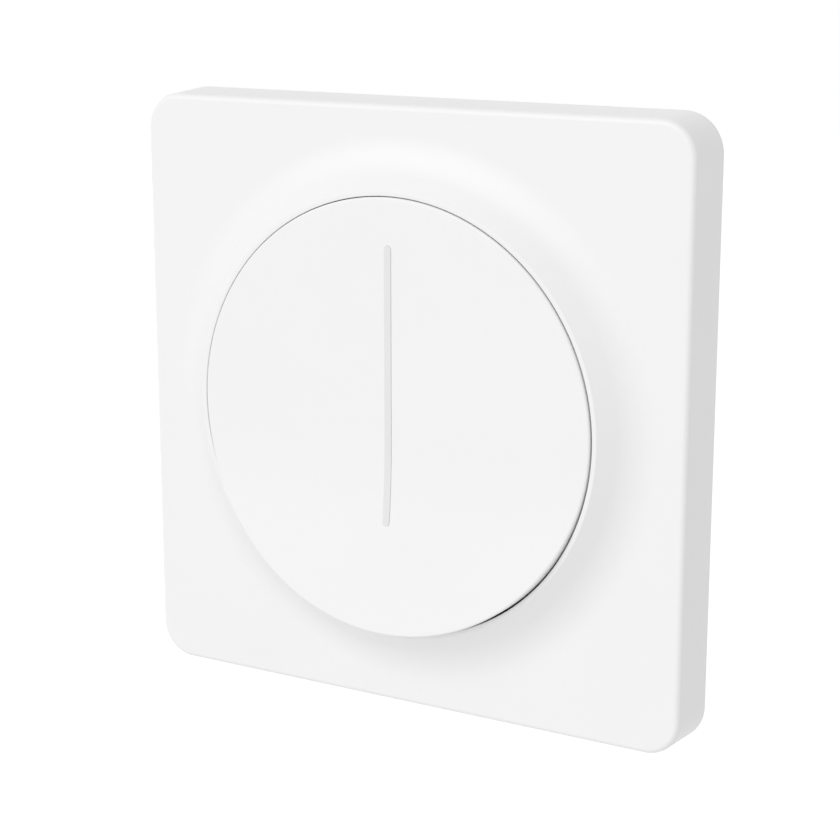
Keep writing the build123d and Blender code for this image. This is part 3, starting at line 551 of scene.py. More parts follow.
def extruded_aluminium(colours):
    """Extruded aluminium: a light grey with die lines along the fins."""
    return plated(
        "extruded_aluminium", colours.aluminium, roughness=0.38,
        streak_mm=0.2, streak_ratio=40.0, depth_mm=0.004, along="Y",
    )


def enamelled_copper(colours):
    """Enamelled wire wound side by side, 0.5 mm thick: a brown gloss with a ridge for each turn, and painted
    shade that darkens the grooves between the turns.
    """
    material, tree, place = start_material("enamelled_copper", Metallic=0.8, Coat_Weight=0.6)
    wire_mm = 0.5
    ridge_mm = 0.1
    turns = add_node(
        tree, "TexWave", {"Vector": place, "Scale": pi / wire_mm / 10, "Distortion": 0.2},
        output="Fac", bands_direction="Y", wave_profile="SIN",
    )
    # painted shade: the colour falls to 0.45 of itself in the grooves between the turns
    value = add_node(tree, "MapRange", {0: turns, 3: 0.45, 4: 1.05})
    tint = add_node(tree, "HueSaturation", {"Value": value, "Color": colours.copper})
    gloss = add_node(tree, "MapRange", {0: turns, 3: 0.42, 4: 0.26})
    bump = add_node(tree, "Bump", {"Height": turns, "Distance": ridge_mm * MM})
    return finish_material(material, Base_Color=tint, Roughness=gloss, Normal=bump)


def amber_film(colours):
    """Polyimide film over flat conductors, one each 0.5 mm: amber with paler copper lines."""
    material, tree, place = start_material("amber_film", IOR=1.7)
    pitch_mm = 0.5
    ridge_mm = 0.02
    lines = add_node(
        tree, "TexWave", {"Vector": place, "Scale": pi / pitch_mm / 10},
        output="Fac", bands_direction="X", wave_profile="SIN",
    )
    value = add_node(tree, "MapRange", {0: lines, 1: 0.35, 2: 0.65, 3: 0.75, 4: 1.15})
    tint = add_node(tree, "HueSaturation", {"Value": value, "Color": colours.ribbon})
    gloss = add_node(tree, "MapRange", {0: lines, 3: 0.3, 4: 0.22})
    bump = add_node(tree, "Bump", {"Height": lines, "Distance": ridge_mm * MM})
    return finish_material(material, Base_Color=tint, Roughness=gloss, Normal=bump)


def solder_mask(colours):
    """Solder mask over glass epoxy: glossy green, paler over the copper tracks under it."""
    material, tree, place = start_material("solder_mask", IOR=1.55)
    track_mm = 1.27
    copper_mm = 0.05
    weave_mm = 0.4
    turned = add_node(tree, "Mapping", {"Vector": place, "Rotation": (radians(90), 0.0, 0.0)})
    tracks = add_node(
        tree, "TexBrick",
        {
            "Vector": turned, "Scale": 1.0, "Mortar Size": 0.16, "Mortar Smooth": 0.1,
            "Brick Width": 5 * track_mm, "Row Height": track_mm,
            "Color1": colours.board, "Color2": colours.board, "Mortar": colours.track,
        },
        output="Color",
    )
    ridge = add_node(tree, "RGBToBW", {"Color": tracks})
    weave = add_node(tree, "TexNoise", {"Vector": place, "Scale": 1 / weave_mm, "Detail": 2.0})
    gloss = add_node(tree, "MapRange", {0: weave, 3: 0.26, 4: 0.4})
    bump = add_node(tree, "Bump", {"Height": ridge, "Distance": copper_mm * MM})
    return finish_material(material, Base_Color=tracks, Roughness=gloss, Normal=bump)


FINISHES = (
    satin_polycarbonate, frosted_acrylic, plain_abs, spark_eroded_polycarbonate, black_nylon,
    green_polyamide, dipped_epoxy, varistor_lacquer, shrunk_sleeve, silicone_lens, fired_ceramic,
    zinc_plated_sheet, zinc_plated_screw, stamped_brass, tinned_steel, extruded_aluminium,
    enamelled_copper, amber_film, solder_mask,
)


def finish(name):
    """The finish of that name, made by the first piece that asks for it."""
    made = bpy.data.materials.get(name)
    if made is None:
        maker = {each.__name__: each for each in FINISHES}[name]
        made = maker(bpy.context.scene.dimmer_colours)
    return made


# Cover frame
STRAIGHT_STEPS = 64
CORNER_STEPS = 24
BACK_EDGE_STEPS = 4
FRONT_EDGE_STEPS = 10
FLARE_STEPS = 16
OUTER_RIM_STEPS = 4
INNER_RIM_STEPS = 6
SIDE_SHARES = (0.25, 0.5, 0.75)
BORDER_SHARES = (0.25, 0.1)


def square_outline(half, corner):
    """A rounded square as (x, z) pairs, from the foot of its right side."""
    straight = half - corner
    points = []
    for quarter in range(4):
        turn = Matrix.Rotation(quarter * pi / 2, 2)
        for i in range(STRAIGHT_STEPS):
            points.append(turn @ Vector((half, straight * (2 * i / STRAIGHT_STEPS - 1))))
        for x, z in arc((straight, straight), corner, 0, pi / 2, CORNER_STEPS)[:-1]:
            points.append(turn @ Vector((x, z)))
    return points


def cover_frame_rings(sizes):
    """Rings over the whole skin of the cover frame, from its outer edge at the wall to its inner one."""
    lean = tan(sizes.draft)
    rays = [atan2(z, x) for x, z in square_outline(sizes.half, sizes.corner)]

    def square(inset, level, skirt=0.0):
        half = sizes.half - skirt - inset
        return [Vector((x, -level, z)) for x, z in square_outline(half, sizes.corner - skirt - inset)]

    def ring(radius, level):
        return [Vector((radius * cos(ray), -level, radius * sin(ray))) for ray in rays]

    face = sizes.face_level
    back = sizes.back_round
    edge = sizes.edge_round
    edge_middle = ((face - edge) * lean + edge / cos(sizes.draft), face - edge)
    back_edge = arc((back, back), back, 1.5 * pi, pi, BACK_EDGE_STEPS)
    front_edge = arc(edge_middle, edge, pi - sizes.draft, pi / 2, FRONT_EDGE_STEPS)
    rings = [square(inset, level) for inset, level in back_edge]
    rings += [square(face * share * lean, face * share) for share in SIDE_SHARES]
    rings += [square(inset, level) for inset, level in front_edge]

    foot_r = sizes.half - sizes.border
    slope = sizes.flare_slope
    flare_r = sizes.flare_run / tan(slope / 2)
    rim_r = foot_r - sizes.flare_run - (sizes.rim_level - face) / tan(slope)
    bore_r = rim_r - sizes.rim_land
    flare = arc((foot_r, face + flare_r), flare_r, 1.5 * pi, 1.5 * pi - slope, FLARE_STEPS)
    rim = sizes.rim_round
    rim_cut = rim * tan(slope / 2)
    rim_height = sizes.rim_level - rim
    outer_rim = arc((rim_r - rim_cut, rim_height), rim, pi / 2 - slope, pi / 2, OUTER_RIM_STEPS)
    inner_rim = arc((bore_r + rim, rim_height), rim, pi / 2, pi, INNER_RIM_STEPS)
    rings += [ring(foot_r + (sizes.half - foot_r) * share, face) for share in BORDER_SHARES]
    rings += [ring(radius, level) for radius, level in flare + outer_rim + inner_rim]

    ceiling = face - sizes.face_wall
    groove_r = bore_r + sizes.collar_wall
    groove_top = sizes.rim_level - (groove_r - rim_r) * tan(slope) - sizes.collar_wall / cos(slope)
    groove_foot_r = groove_r + (groove_top - ceiling) / tan(slope)
    bore = ((bore_r, face), (bore_r, ceiling))
    groove = ((groove_r, ceiling), (groove_r, groove_top), (groove_foot_r, ceiling))
    rings += [ring(radius, level) for radius, level in bore + groove]
    rings.append(square(ceiling * lean, ceiling, sizes.skirt_wall))
    rings.append(square(0.0, 0.0, sizes.skirt_wall))
    return rings


LUG_LENGTH = 12.0 * MM
LUG_LOW = 3.77 * MM
LUG_HIGH = 4.97 * MM
LUG_INNER = 39.56 * MM
LUG_OUTER = 41.4 * MM
LUG_EDGE_ROUND = 0.2 * MM
PRY_SLOT_WIDTH = 9.0 * MM
PRY_SLOT_HEIGHT = 1.6 * MM
PRY_SLOT_ROUND = 0.4 * MM


class DIMMER_OT_cover_frame(Operator):
    """Model the square plate with its flared collar, catch lugs and pry slot"""

    bl_idname = "dimmer.cover_frame"
    bl_label = "Cover frame"

    def execute(self, context):
        sizes = context.scene.dimmer_cover_frame
        bm = bmesh.new()
        add_skin(bm, cover_frame_rings(sizes), wrap=True)
        piece = new_piece("cover_frame_shell", bm)
        lugs = bmesh.new()
        for quarter in range(4):
            turned = Matrix.Rotation(quarter * pi / 2, 4, "Y")
            low = (LUG_INNER, -LUG_HIGH, -LUG_LENGTH / 2)
            add_block(lugs, low, (LUG_OUTER, -LUG_LOW, LUG_LENGTH / 2), LUG_EDGE_ROUND, turned)
        combine(piece, new_piece("lugs", lugs), "UNION")
        cut = bmesh.new()
        reach = 2 * sizes.skirt_wall
        low = (-PRY_SLOT_WIDTH / 2, -PRY_SLOT_HEIGHT, -sizes.half - reach)
        high = (PRY_SLOT_WIDTH / 2, PRY_SLOT_HEIGHT, -sizes.half + reach)
        add_block(cut, low, high, PRY_SLOT_ROUND)
        combine(piece, new_piece("pry_slot", cut), "DIFFERENCE")
        dress(piece, "front_panel", "white_shell", "satin_polycarbonate", "cover_frame")
        return {"FINISHED"}


# Press plate, in its own plane: X right, Y up along it, Z out of it
FACE_RINGS = 14
FACE_EDGE_STEPS = 8
SLOT_SIDE_STEPS = 64
SLOT_END_STEPS = 24
SLOT_EDGE_ROUND = 0.02 * MM
BAR_EDGE_ROUND = 0.06 * MM
BAR_EDGE_STEPS = 5
BAR_FLANGE = 1.0 * MM
BAR_FLANGE_THICKNESS = 0.8 * MM
LED_DEPTH = 0.6 * MM
LED_GAP = 0.2 * MM
TOUCH_BOARD_THICKNESS = 0.8 * MM
FOOT_CHAMFER = 0.15 * MM
FITTING_ROOT = 0.2 * MM
STAKE_EDGE = 1.4 * MM
STAKE_RADIUS = 0.6 * MM
STAKE_BOSS_RADIUS = 1.2 * MM
STAKE_HEAD_RADIUS = 1.0 * MM
STAKE_HEAD_DEPTH = 0.4 * MM
STAKE_HEAD_EDGE = (0.1 * MM, 0.15 * MM)
STAKE_STEPS = 32
RIB_STEP = 12.0 * MM
RIB_START = 6.5 * MM
RIB_THICKNESS = 0.9 * MM
RIB_HEIGHT = 1.4 * MM
RIB_EDGE_ROUND = 0.12 * MM
EAR_X = 9.2 * MM
EAR_THICKNESS = 1.8 * MM
EAR_RADIUS = 1.1 * MM
EAR_CHAMFER = 0.1 * MM
EAR_BORE = 0.55 * MM
HOOK_X = 12.0 * MM
HOOK_INSET = 6.0 * MM
HOOK_THICKNESS = 1.6 * MM
HOOK_WIDTH = 1.4 * MM
HOOK_EDGE_ROUND = 0.15 * MM
BARB_REACH = 0.9 * MM
BARB_HEIGHT = 1.0 * MM
CATCH_LEVEL = 4.92 * MM
KEY_CLEARANCE = 0.1 * MM
ACTUATOR_RADIUS = 1.5 * MM
ACTUATOR_TIP_RADIUS = 1.0 * MM
ACTUATOR_TIP_DEPTH = 0.5 * MM
ACTUATOR_CHAMFER = 0.15 * MM


def bar_ends(sizes):
    """Bottom and top of the light bar along the face."""
    return sizes.bar_bottom_gap - sizes.radius, sizes.radius - sizes.bar_top_gap


def face_level_at(sizes, z):
    """Level of the press plate's face in front of the wall: flat above, bent out into the lip below."""
    down = -sizes.lip_start - z
    bend_end = sizes.lip_bend * sin(sizes.lip_slope)
    if down <= 0.0:
        return sizes.face_level
    bent = min(down, bend_end)
    rise = sizes.lip_bend - sqrt(sizes.lip_bend**2 - bent**2)
    return sizes.face_level + rise + (down - bent) * tan(sizes.lip_slope)


def face_height(sizes, up):
    """Height of the face over the plate's own plane, at a distance up that plane."""
    height = 0.0
    for _ in range(3):
        level = face_level_at(sizes, up * cos(press_lean) + height * sin(press_lean))
        height = (level - sizes.plane_level + up * sin(press_lean)) / cos(press_lean)
    return height


def on_face(sizes, points, proud=0.0):
    """Points of the plate's plane, lifted onto its face."""
    return [Vector((point.x, point.y, face_height(sizes, point.y) + proud)) for point in points]


def face_edge_ring(sizes, share, steps):
    """A ring on the round edge of the face, from its start on the face to its end on the side."""
    edge = sizes.edge_round
    middle_r = sizes.radius - edge
    ring = []
    for point in circle(1.0, 0.0, steps):
        reach = [face_height(sizes, (middle_r + step) * point.y + sizes.rise) for step in (-edge, 0.0, edge)]
        slope = atan2(reach[2] - reach[0], 2 * edge)
        turn = (pi / 2 + slope) * share - slope
        radius = middle_r + edge * sin(turn)
        height = reach[1] - edge / cos(slope) + edge * cos(turn)
        ring.append(Vector((radius * point.x, radius * point.y + sizes.rise, height)))
    return ring


def close_slot(bm, loop):
    """Close a slot-shaped loop with faces across it, so that they follow its bend."""
    quarter = len(loop) // 4
    for i in range(-quarter, quarter):
        corners = (loop[i], loop[i + 1], loop[2 * quarter - i - 1], loop[(2 * quarter - i) % len(loop)])
        bm.faces.new(dict.fromkeys(corners))


def slot_ring(sizes, grow, height=0.0):
    """A round-ended slot about the bar, grown all round, from the middle of its right side."""
    bottom, top = bar_ends(sizes)
    radius = sizes.bar_width / 2
    middle = (bottom + top) / 2
    straight = (top - bottom) / 2 - radius
    quarter = [(radius + grow, straight * i / SLOT_SIDE_STEPS) for i in range(SLOT_SIDE_STEPS)]
    quarter += arc((0.0, straight), radius + grow, 0, pi / 2, SLOT_END_STEPS)
    right = quarter[:-1] + [(-x, y) for x, y in quarter[:0:-1]]
    outline = right + [(-x, -y) for x, y in right]
    return [Vector((x, middle + y, height)) for x, y in outline]


def add_stakes(bm, plane, under):
    """Add the four heat stakes that hold the touch board."""
    board_low, board_high = (plane.inverted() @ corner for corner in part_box("touch_board"))
    board_front = under - BAR_FLANGE_THICKNESS - LED_GAP - LED_DEPTH
    board_back = board_front - TOUCH_BOARD_THICKNESS
    head_foot = board_back - STAKE_HEAD_DEPTH
    edge_in, edge_up = STAKE_HEAD_EDGE
    profile = (
        (STAKE_HEAD_RADIUS - edge_in, head_foot), (STAKE_HEAD_RADIUS, head_foot + edge_up),
        (STAKE_HEAD_RADIUS, board_back), (STAKE_RADIUS, board_back), (STAKE_RADIUS, board_front),
        (STAKE_BOSS_RADIUS, board_front), (STAKE_BOSS_RADIUS, under + FITTING_ROOT),
    )
    for side in (-1, 1):
        for up in (board_low.y + STAKE_EDGE, board_high.y - STAKE_EDGE):
            place = Matrix.Translation((side * (board_high.x - STAKE_EDGE), up, 0))
            add_turned(bm, profile, place, STAKE_STEPS)


def add_ribs(bm, sizes, under):
    """Add the stiffening ribs on both sides of the touch board."""
    inner_r = sizes.radius - sizes.side_wall
    half = RIB_THICKNESS / 2
    for side in (-1, 1):
        for row in (-RIB_STEP, 0.0, RIB_STEP):
            end = sqrt(inner_r**2 - row**2) + sizes.side_wall / 2
            left, right = sorted((side * RIB_START, side * end))
            low = (left, row - half, under - RIB_HEIGHT)
            add_block(bm, low, (right, row + half, under + FITTING_ROOT), RIB_EDGE_ROUND)


def add_ears(bm, plane, under):
    """Add the two ears that turn on the hinge pins."""
    hinge_here = plane.inverted() @ hinge
    half = EAR_THICKNESS / 2
    profile = (
        (EAR_RADIUS - EAR_CHAMFER, -half), (EAR_RADIUS, EAR_CHAMFER - half),
        (EAR_RADIUS, half - EAR_CHAMFER), (EAR_RADIUS - EAR_CHAMFER, half),
    )
    for side in (-1, 1):
        x = side * EAR_X
        add_turned(bm, profile, across(x, hinge_here.y, hinge_here.z))
        low = (x - half, hinge_here.y - EAR_RADIUS, hinge_here.z)
        add_block(bm, low, (x + half, hinge_here.y + EAR_RADIUS, under + FITTING_ROOT))


def add_hooks(bm, sizes, plane, under):
    """Add the two hooks that stop the plate behind the chassis."""
    hook_y = HOOK_INSET - sizes.radius
    catch = (plane.inverted() @ Vector((0, -CATCH_LEVEL, hook_y))).z
    foot = catch - BARB_HEIGHT
    half = HOOK_WIDTH / 2
    outer = HOOK_X + HOOK_THICKNESS / 2
    for side in (-1, 1):
        for start, end, top in (
            (HOOK_X - HOOK_THICKNESS / 2, outer, under + FITTING_ROOT), (HOOK_X, outer + BARB_REACH, catch),
        ):
            left, right = sorted((side * start, side * end))
            add_block(bm, (left, hook_y - half, foot), (right, hook_y + half, top), HOOK_EDGE_ROUND)


def add_actuator(bm, plane, under):
    """Add the stem that presses the push switch."""
    key_low, key_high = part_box("key_plunger")
    touch = plane.inverted() @ Vector((0, key_low.y - KEY_CLEARANCE, (key_low.z + key_high.z) / 2))
    tip_top = touch.z + ACTUATOR_TIP_DEPTH
    profile = (
        (ACTUATOR_TIP_RADIUS - ACTUATOR_CHAMFER, touch.z), (ACTUATOR_TIP_RADIUS, touch.z + ACTUATOR_CHAMFER),
        (ACTUATOR_TIP_RADIUS, tip_top), (ACTUATOR_RADIUS, tip_top), (ACTUATOR_RADIUS, under + FITTING_ROOT),
    )
    add_turned(bm, profile, Matrix.Translation((0, touch.y, 0)))


class DIMMER_OT_press_plate(Operator):
    """Model the round press plate with its slot, ribs, hinge ears, hooks and stakes"""

    bl_idname = "dimmer.press_plate"
    bl_label = "Press plate"

    def execute(self, context):
        sizes = context.scene.dimmer_press_plate
        plane = press_plane(sizes)
        radius = sizes.radius
        inner_r = radius - sizes.side_wall
        steps = 4 * (SLOT_SIDE_STEPS + SLOT_END_STEPS)
        gap = sizes.bar_clearance
        slot = slot_ring(sizes, gap + SLOT_EDGE_ROUND)
        outline = face_edge_ring(sizes, 0.0, steps)
        rings = [slot_ring(sizes, gap, -sizes.ceiling)]
        rings += [on_face(sizes, slot_ring(sizes, gap), -SLOT_EDGE_ROUND)]
        for i in range(FACE_RINGS):
            between = [near.lerp(far, i / FACE_RINGS) for near, far in zip(slot, outline)]
            rings.append(on_face(sizes, between))
        rings += [face_edge_ring(sizes, i / FACE_EDGE_STEPS, steps) for i in range(FACE_EDGE_STEPS + 1)]
        foot = -sizes.depth
        profile = [(radius, foot / 2), (radius, foot + FOOT_CHAMFER), (radius - FOOT_CHAMFER, foot)]
        profile += [(inner_r, foot), (inner_r, -sizes.ceiling)]
        raised = Matrix.Translation((0, sizes.rise, 0))
        rings += [[raised @ point for point in circle(r, height, steps)] for r, height in profile]
        bm = bmesh.new()
        add_skin(bm, rings, wrap=True)
        piece = new_piece("press_plate_disc", bm)
        fittings = bmesh.new()
        under = -sizes.ceiling
        add_stakes(fittings, plane, under)
        add_ribs(fittings, sizes, under)
        add_ears(fittings, plane, under)
        add_hooks(fittings, sizes, plane, under)
        add_actuator(fittings, plane, under)
        combine(piece, new_piece("fittings", fittings), "UNION")
        bores = bmesh.new()
        hinge_here = plane.inverted() @ hinge
        reach = EAR_X + 2 * EAR_THICKNESS
        profile = ((EAR_BORE, -reach), (EAR_BORE, reach))
        add_turned(bores, profile, across(0, hinge_here.y, hinge_here.z))
        combine(piece, new_piece("bores", bores), "DIFFERENCE")
        piece.data.transform(plane)
        dress(piece, "press_plate", "white_shell", "satin_polycarbonate", "press_plate")
        return {"FINISHED"}


class DIMMER_OT_light_bar(Operator):
    """Model the frosted bar with its flange behind the face"""

    bl_idname = "dimmer.light_bar"
    bl_label = "Light bar"

    def execute(self, context):
        sizes = context.scene.dimmer_press_plate
        crown = BAR_EDGE_ROUND
        under = -sizes.ceiling
        foot = under - BAR_FLANGE_THICKNESS
        rounded = arc((-crown, sizes.bar_proud - crown), crown, pi / 2, 0, BAR_EDGE_STEPS)
        rings = [on_face(sizes, slot_ring(sizes, -2 * crown), sizes.bar_proud)]
        rings += [on_face(sizes, slot_ring(sizes, grow), proud) for grow, proud in rounded]
        rings += [slot_ring(sizes, grow, height) for grow, height in (
            (0.0, under), (BAR_FLANGE, under), (BAR_FLANGE, foot), (0.0, foot),
        )]
        bm = bmesh.new()
        loops = add_skin(bm, rings)
        close_slot(bm, loops[0])
        close_slot(bm, loops[-1])
        piece = new_piece("light_bar_diffuser", bm)
        piece.data.transform(press_plane(sizes))
        dress(piece, "press_plate", "diffuser", "frosted_acrylic", "light_bar")
        return {"FINISHED"}


# Chassis, boards and small parts
class DIMMER_OT_chassis(Operator):
    """Round the chassis's edges and finish it with its hinge pins"""

    bl_idname = "dimmer.chassis"
    bl_label = "Chassis"

    def execute(self, context):
        soften("chassis", "front_panel", "inner_plastic", "plain_abs", edge_round=0.12 * MM)
        paint("hinge_pins", "zinc_plated_screw")
        return {"FINISHED"}


class DIMMER_OT_touch_board(Operator):
    """Round and finish the touch board, its chip and light-emitting diodes, and finish the flat cable"""

    bl_idname = "dimmer.touch_board"
    bl_label = "Touch board"

    def execute(self, context):
        soften("touch_board", "press_plate", "circuit_board", "solder_mask", edge_round=0.05 * MM)
        soften("touch_chip", "press_plate", "dark_plastic", "black_nylon", edge_round=0.08 * MM)
        soften("slider_leds", "press_plate", "led_package", "silicone_lens", edge_round=0.12 * MM)
        paint("ribbon_cable", "amber_film")
        return {"FINISHED"}


PIN_COUNT = 5
PIN_SIDE = 0.64 * MM
PIN_TAPER = 0.6 * MM
PIN_TIP_SHARE = 0.45
STRIP_DEPTH = 0.8 * MM
STRIP_NOTCH = 0.3 * MM
CHIP_LENGTH = 1.6 * MM
CHIP_WIDTH = 0.8 * MM
CHIP_HEIGHT = 0.45 * MM
CHIP_END = 0.3 * MM
CHIP_BODY_HEIGHT = 0.414 * MM
CHIP_BODY_ROUND = 0.04 * MM
CHIP_END_ROUND = 0.06 * MM
CHIP_ROWS = 4
CHIP_COLUMNS = 5
CHIP_PITCH = (3.4 * MM, 2.6 * MM)
CHIP_MIDDLE_Z = -2.0 * MM


class DIMMER_OT_key_board(Operator):
    """Finish the key board and what it carries, and set the header and small parts on its back"""

    bl_idname = "dimmer.key_board"
    bl_label = "Key board"

    def execute(self, context):
        soften("key_board", "front_panel", "circuit_board", "solder_mask", edge_round=0.05 * MM)
        soften("key_switch_body", "front_panel", "dark_plastic", "black_nylon", edge_round=0.15 * MM)
        soften("ribbon_socket", "front_panel", "dark_plastic", "black_nylon", edge_round=0.08 * MM)
        soften("wireless_module", "front_panel", "tinned_steel", "tinned_steel", edge_round=0.12 * MM)
        soften("key_plunger", "key_plunger", "inner_plastic", "plain_abs", edge_round=0.1 * MM)
        self.set_header()
        self.set_small_parts()
        return {"FINISHED"}

    def set_header(self):
        """A strip that is notched between its pins, and square pins with tapered ends."""
        low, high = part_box("header_pins")
        middle = (low + high) / 2
        half = (high.z - low.z) / 2
        pitch = (high.x - low.x) / PIN_COUNT
        columns = [low.x + (i + 0.5) * pitch for i in range(PIN_COUNT)]
        edge = [(low.x, half - STRIP_NOTCH)]
        for x in columns:
            edge.append((x - pitch / 2 + STRIP_NOTCH, half))
            edge.append((x + pitch / 2 - STRIP_NOTCH, half))
            edge.append((x + pitch / 2, half - STRIP_NOTCH))
        outline = edge + [(x, -up) for x, up in reversed(edge)]
        strip_end = low.y + STRIP_DEPTH
        strip = bmesh.new()
        rings = [[Vector((x, y, middle.z + up)) for x, up in outline] for y in (low.y, strip_end)]
        add_skin(strip, rings, caps=True)
        dress(new_piece("header_strip", strip), "front_panel", "dark_plastic", "black_nylon", "header_pins")
        pins = bmesh.new()
        half_corner = PIN_SIDE / sqrt(2)
        reach = high.y - strip_end
        profile = ((half_corner, 0.0), (half_corner, reach - PIN_TAPER), (PIN_TIP_SHARE * half_corner, reach))
        for x in columns:
            square_on = into_wall(x, strip_end, middle.z) @ Matrix.Rotation(pi / 4, 4, "Z")
            add_turned(pins, profile, square_on, steps=4)
        dress(new_piece("header_pin_row", pins), "front_panel", "tinned_steel", "tinned_steel")

    def set_small_parts(self):
        """Rows of chip resistors and capacitors: a ceramic body between two tinned ends."""
        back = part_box("key_board")[1].y
        bodies = bmesh.new()
        ends = bmesh.new()
        for row in range(CHIP_ROWS):
            for column in range(CHIP_COLUMNS):
                x = (column - (CHIP_COLUMNS - 1) / 2) * CHIP_PITCH[0]
                z = CHIP_MIDDLE_Z + (row - (CHIP_ROWS - 1) / 2) * CHIP_PITCH[1]
                place = Matrix.Translation((x, back, z))
                inner = CHIP_LENGTH / 2 - CHIP_END
                low = (-inner, 0, -CHIP_WIDTH / 2)
                add_block(bodies, low, (inner, CHIP_BODY_HEIGHT, CHIP_WIDTH / 2), CHIP_BODY_ROUND, place)
                for side in (-1, 1):
                    near, far = sorted((side * inner, side * CHIP_LENGTH / 2))
                    low = (near, 0, -CHIP_WIDTH / 2)
                    add_block(ends, low, (far, CHIP_HEIGHT, CHIP_WIDTH / 2), CHIP_END_ROUND, place)
        dress(new_piece("chip_bodies", bodies), "front_panel", "dark_plastic", "fired_ceramic")
        dress(new_piece("chip_ends", ends), "front_panel", "tinned_steel", "tinned_steel")


# Screws
THREAD_LAP = 0.1 * MM


def pan_head(radius, height):
    """Profile of a pan head from its seat to its crown."""
    crown = 0.35 * height
    return [(radius, 0.0), *arc((radius - crown, height - crown), crown, 0, pi / 2, 5)]


def add_drive_slot(bm, head_r, head_height, half_width, depth, place):
    """Add the block that cuts a straight slot across a head."""
    low = (-2 * head_r, -half_width, head_height - depth)
    add_block(bm, low, (2 * head_r, half_width, 2 * head_height), place=place)


class DIMMER_OT_board_screws(Operator):
    """Model the four small screws of the key board, with crossed recesses and threads"""

    bl_idname = "dimmer.board_screws"
    bl_label = "Board screws"

    def execute(self, context):
        low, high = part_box("board_screws")
        head_r = 1.7 * MM
        head_height = 0.5 * MM
        shank_r = 0.9 * MM
        recess = 0.32 * MM
        arm = 0.95 * MM
        arm_half_width = 0.16 * MM
        thread = {"depth": 0.2 * MM, "pitch": 0.7 * MM}
        seat = high.y - head_height
        bm = bmesh.new()
        cut = bmesh.new()
        for x in (low.x + head_r, high.x - head_r):
            for z in (low.z + head_r, high.z - head_r):
                place = into_wall(x, seat, z)
                add_turned(bm, pan_head(head_r, head_height), place)
                add_thread(bm, shank_r, low=low.y - seat, high=THREAD_LAP, place=place, **thread)
                for x_half, y_half in ((arm, arm_half_width), (arm_half_width, arm)):
                    foot = (-x_half, -y_half, head_height - recess)
                    add_block(cut, foot, (x_half, y_half, 2 * head_height), place=place)
        piece = new_piece("board_screws_pan_head", bm)
        combine(piece, new_piece("recesses", cut), "DIFFERENCE")
        dress(piece, "front_panel", "screw_steel", "zinc_plated_screw", "board_screws")
        return {"FINISHED"}


class DIMMER_OT_base_screws(Operator):
    """Model the four slotted screws that hold the base together"""

    bl_idname = "dimmer.base_screws"
    bl_label = "Base screws"

    def execute(self, context):
        low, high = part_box("base_screws")
        head_r = 1.8 * MM
        head_height = 0.9 * MM
        shank_r = 1.1 * MM
        slot_half = 0.3 * MM
        slot_depth = 0.5 * MM
        thread = {"depth": 0.25 * MM, "pitch": 0.8 * MM}
        seat = -low.y - head_height
        bm = bmesh.new()
        cut = bmesh.new()
        for x in (low.x + head_r, high.x - head_r):
            for z in (low.z + head_r, high.z - head_r):
                place = on_wall(x, z, seat)
                add_turned(bm, pan_head(head_r, head_height), place)
                add_thread(bm, shank_r, low=-high.y - seat, high=THREAD_LAP, place=place, **thread)
                add_drive_slot(cut, head_r, head_height, slot_half, slot_depth, place)
        piece = new_piece("base_screws_slotted", bm)
        combine(piece, new_piece("slots", cut), "DIFFERENCE")
        dress(piece, "base", "screw_steel", "zinc_plated_screw", "base_screws")
        return {"FINISHED"}


# The part in the wall
class DIMMER_OT_bracket(Operator):
    """Round the pressed bracket's edges and finish it in zinc"""

    bl_idname = "dimmer.bracket"
    bl_label = "Mounting bracket"

    def execute(self, context):
        soften("mounting_bracket", "base", "zinc_steel", "zinc_plated_sheet", edge_round=0.12 * MM)
        return {"FINISHED"}


class DIMMER_OT_housing(Operator):
    """Round the edges of the rear housing, the base cover and the socket, and finish them"""

    bl_idname = "dimmer.housing"
    bl_label = "Rear housing"

    def execute(self, context):
        soften("rear_housing", "base", "housing_plastic", "spark_eroded_polycarbonate", edge_round=0.12 * MM)
        soften("base_cover", "base", "housing_plastic", "spark_eroded_polycarbonate", edge_round=0.12 * MM)
        soften("header_socket", "base", "dark_plastic", "black_nylon", edge_round=0.08 * MM)
        return {"FINISHED"}


class DIMMER_OT_terminals(Operator):
    """Model the clamp screws with their threads, and finish the block, bars and cages"""

    bl_idname = "dimmer.terminals"
    bl_label = "Terminals"

    def execute(self, context):
        soften("terminal_block", "base", "terminal_plastic", "green_polyamide", edge_round=0.1 * MM)
        soften("contact_bars", "base", "brass", "stamped_brass", edge_round=0.08 * MM)
        for number in (1, 2, 3, 4):
            cage = f"terminal_cage_{number}"
            soften(cage, cage, "zinc_steel", "zinc_plated_sheet", edge_round=0.08 * MM)
            self.add_clamp_screw(f"terminal_screw_{number}")
        return {"FINISHED"}

    def add_clamp_screw(self, node):
        """A cheese-head screw with a slot, its head at the back of the block."""
        low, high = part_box(node)
        middle = (low + high) / 2
        head_r = high.x - middle.x
        head_height = 1.6 * MM
        shank_r = 1.5 * MM
        slot_half = 0.4 * MM
        slot_depth = 0.9 * MM
        chamfer = 0.15 * MM
        thread = {"depth": 0.28 * MM, "pitch": 0.5 * MM}
        seat = high.y - head_height
        place = into_wall(middle.x, seat, middle.z)
        head = ((head_r, 0.0), (head_r, head_height - chamfer), (head_r - chamfer, head_height))
        bm = bmesh.new()
        add_turned(bm, head, place)
        add_thread(bm, shank_r, low=low.y - seat, high=THREAD_LAP, place=place, **thread)
        cut = bmesh.new()
        add_drive_slot(cut, head_r, head_height, slot_half, slot_depth, place)
        piece = new_piece(node + "_threaded", bm)
        combine(piece, new_piece("slot", cut), "DIFFERENCE")
        dress(piece, node, "screw_steel", "zinc_plated_screw", node)


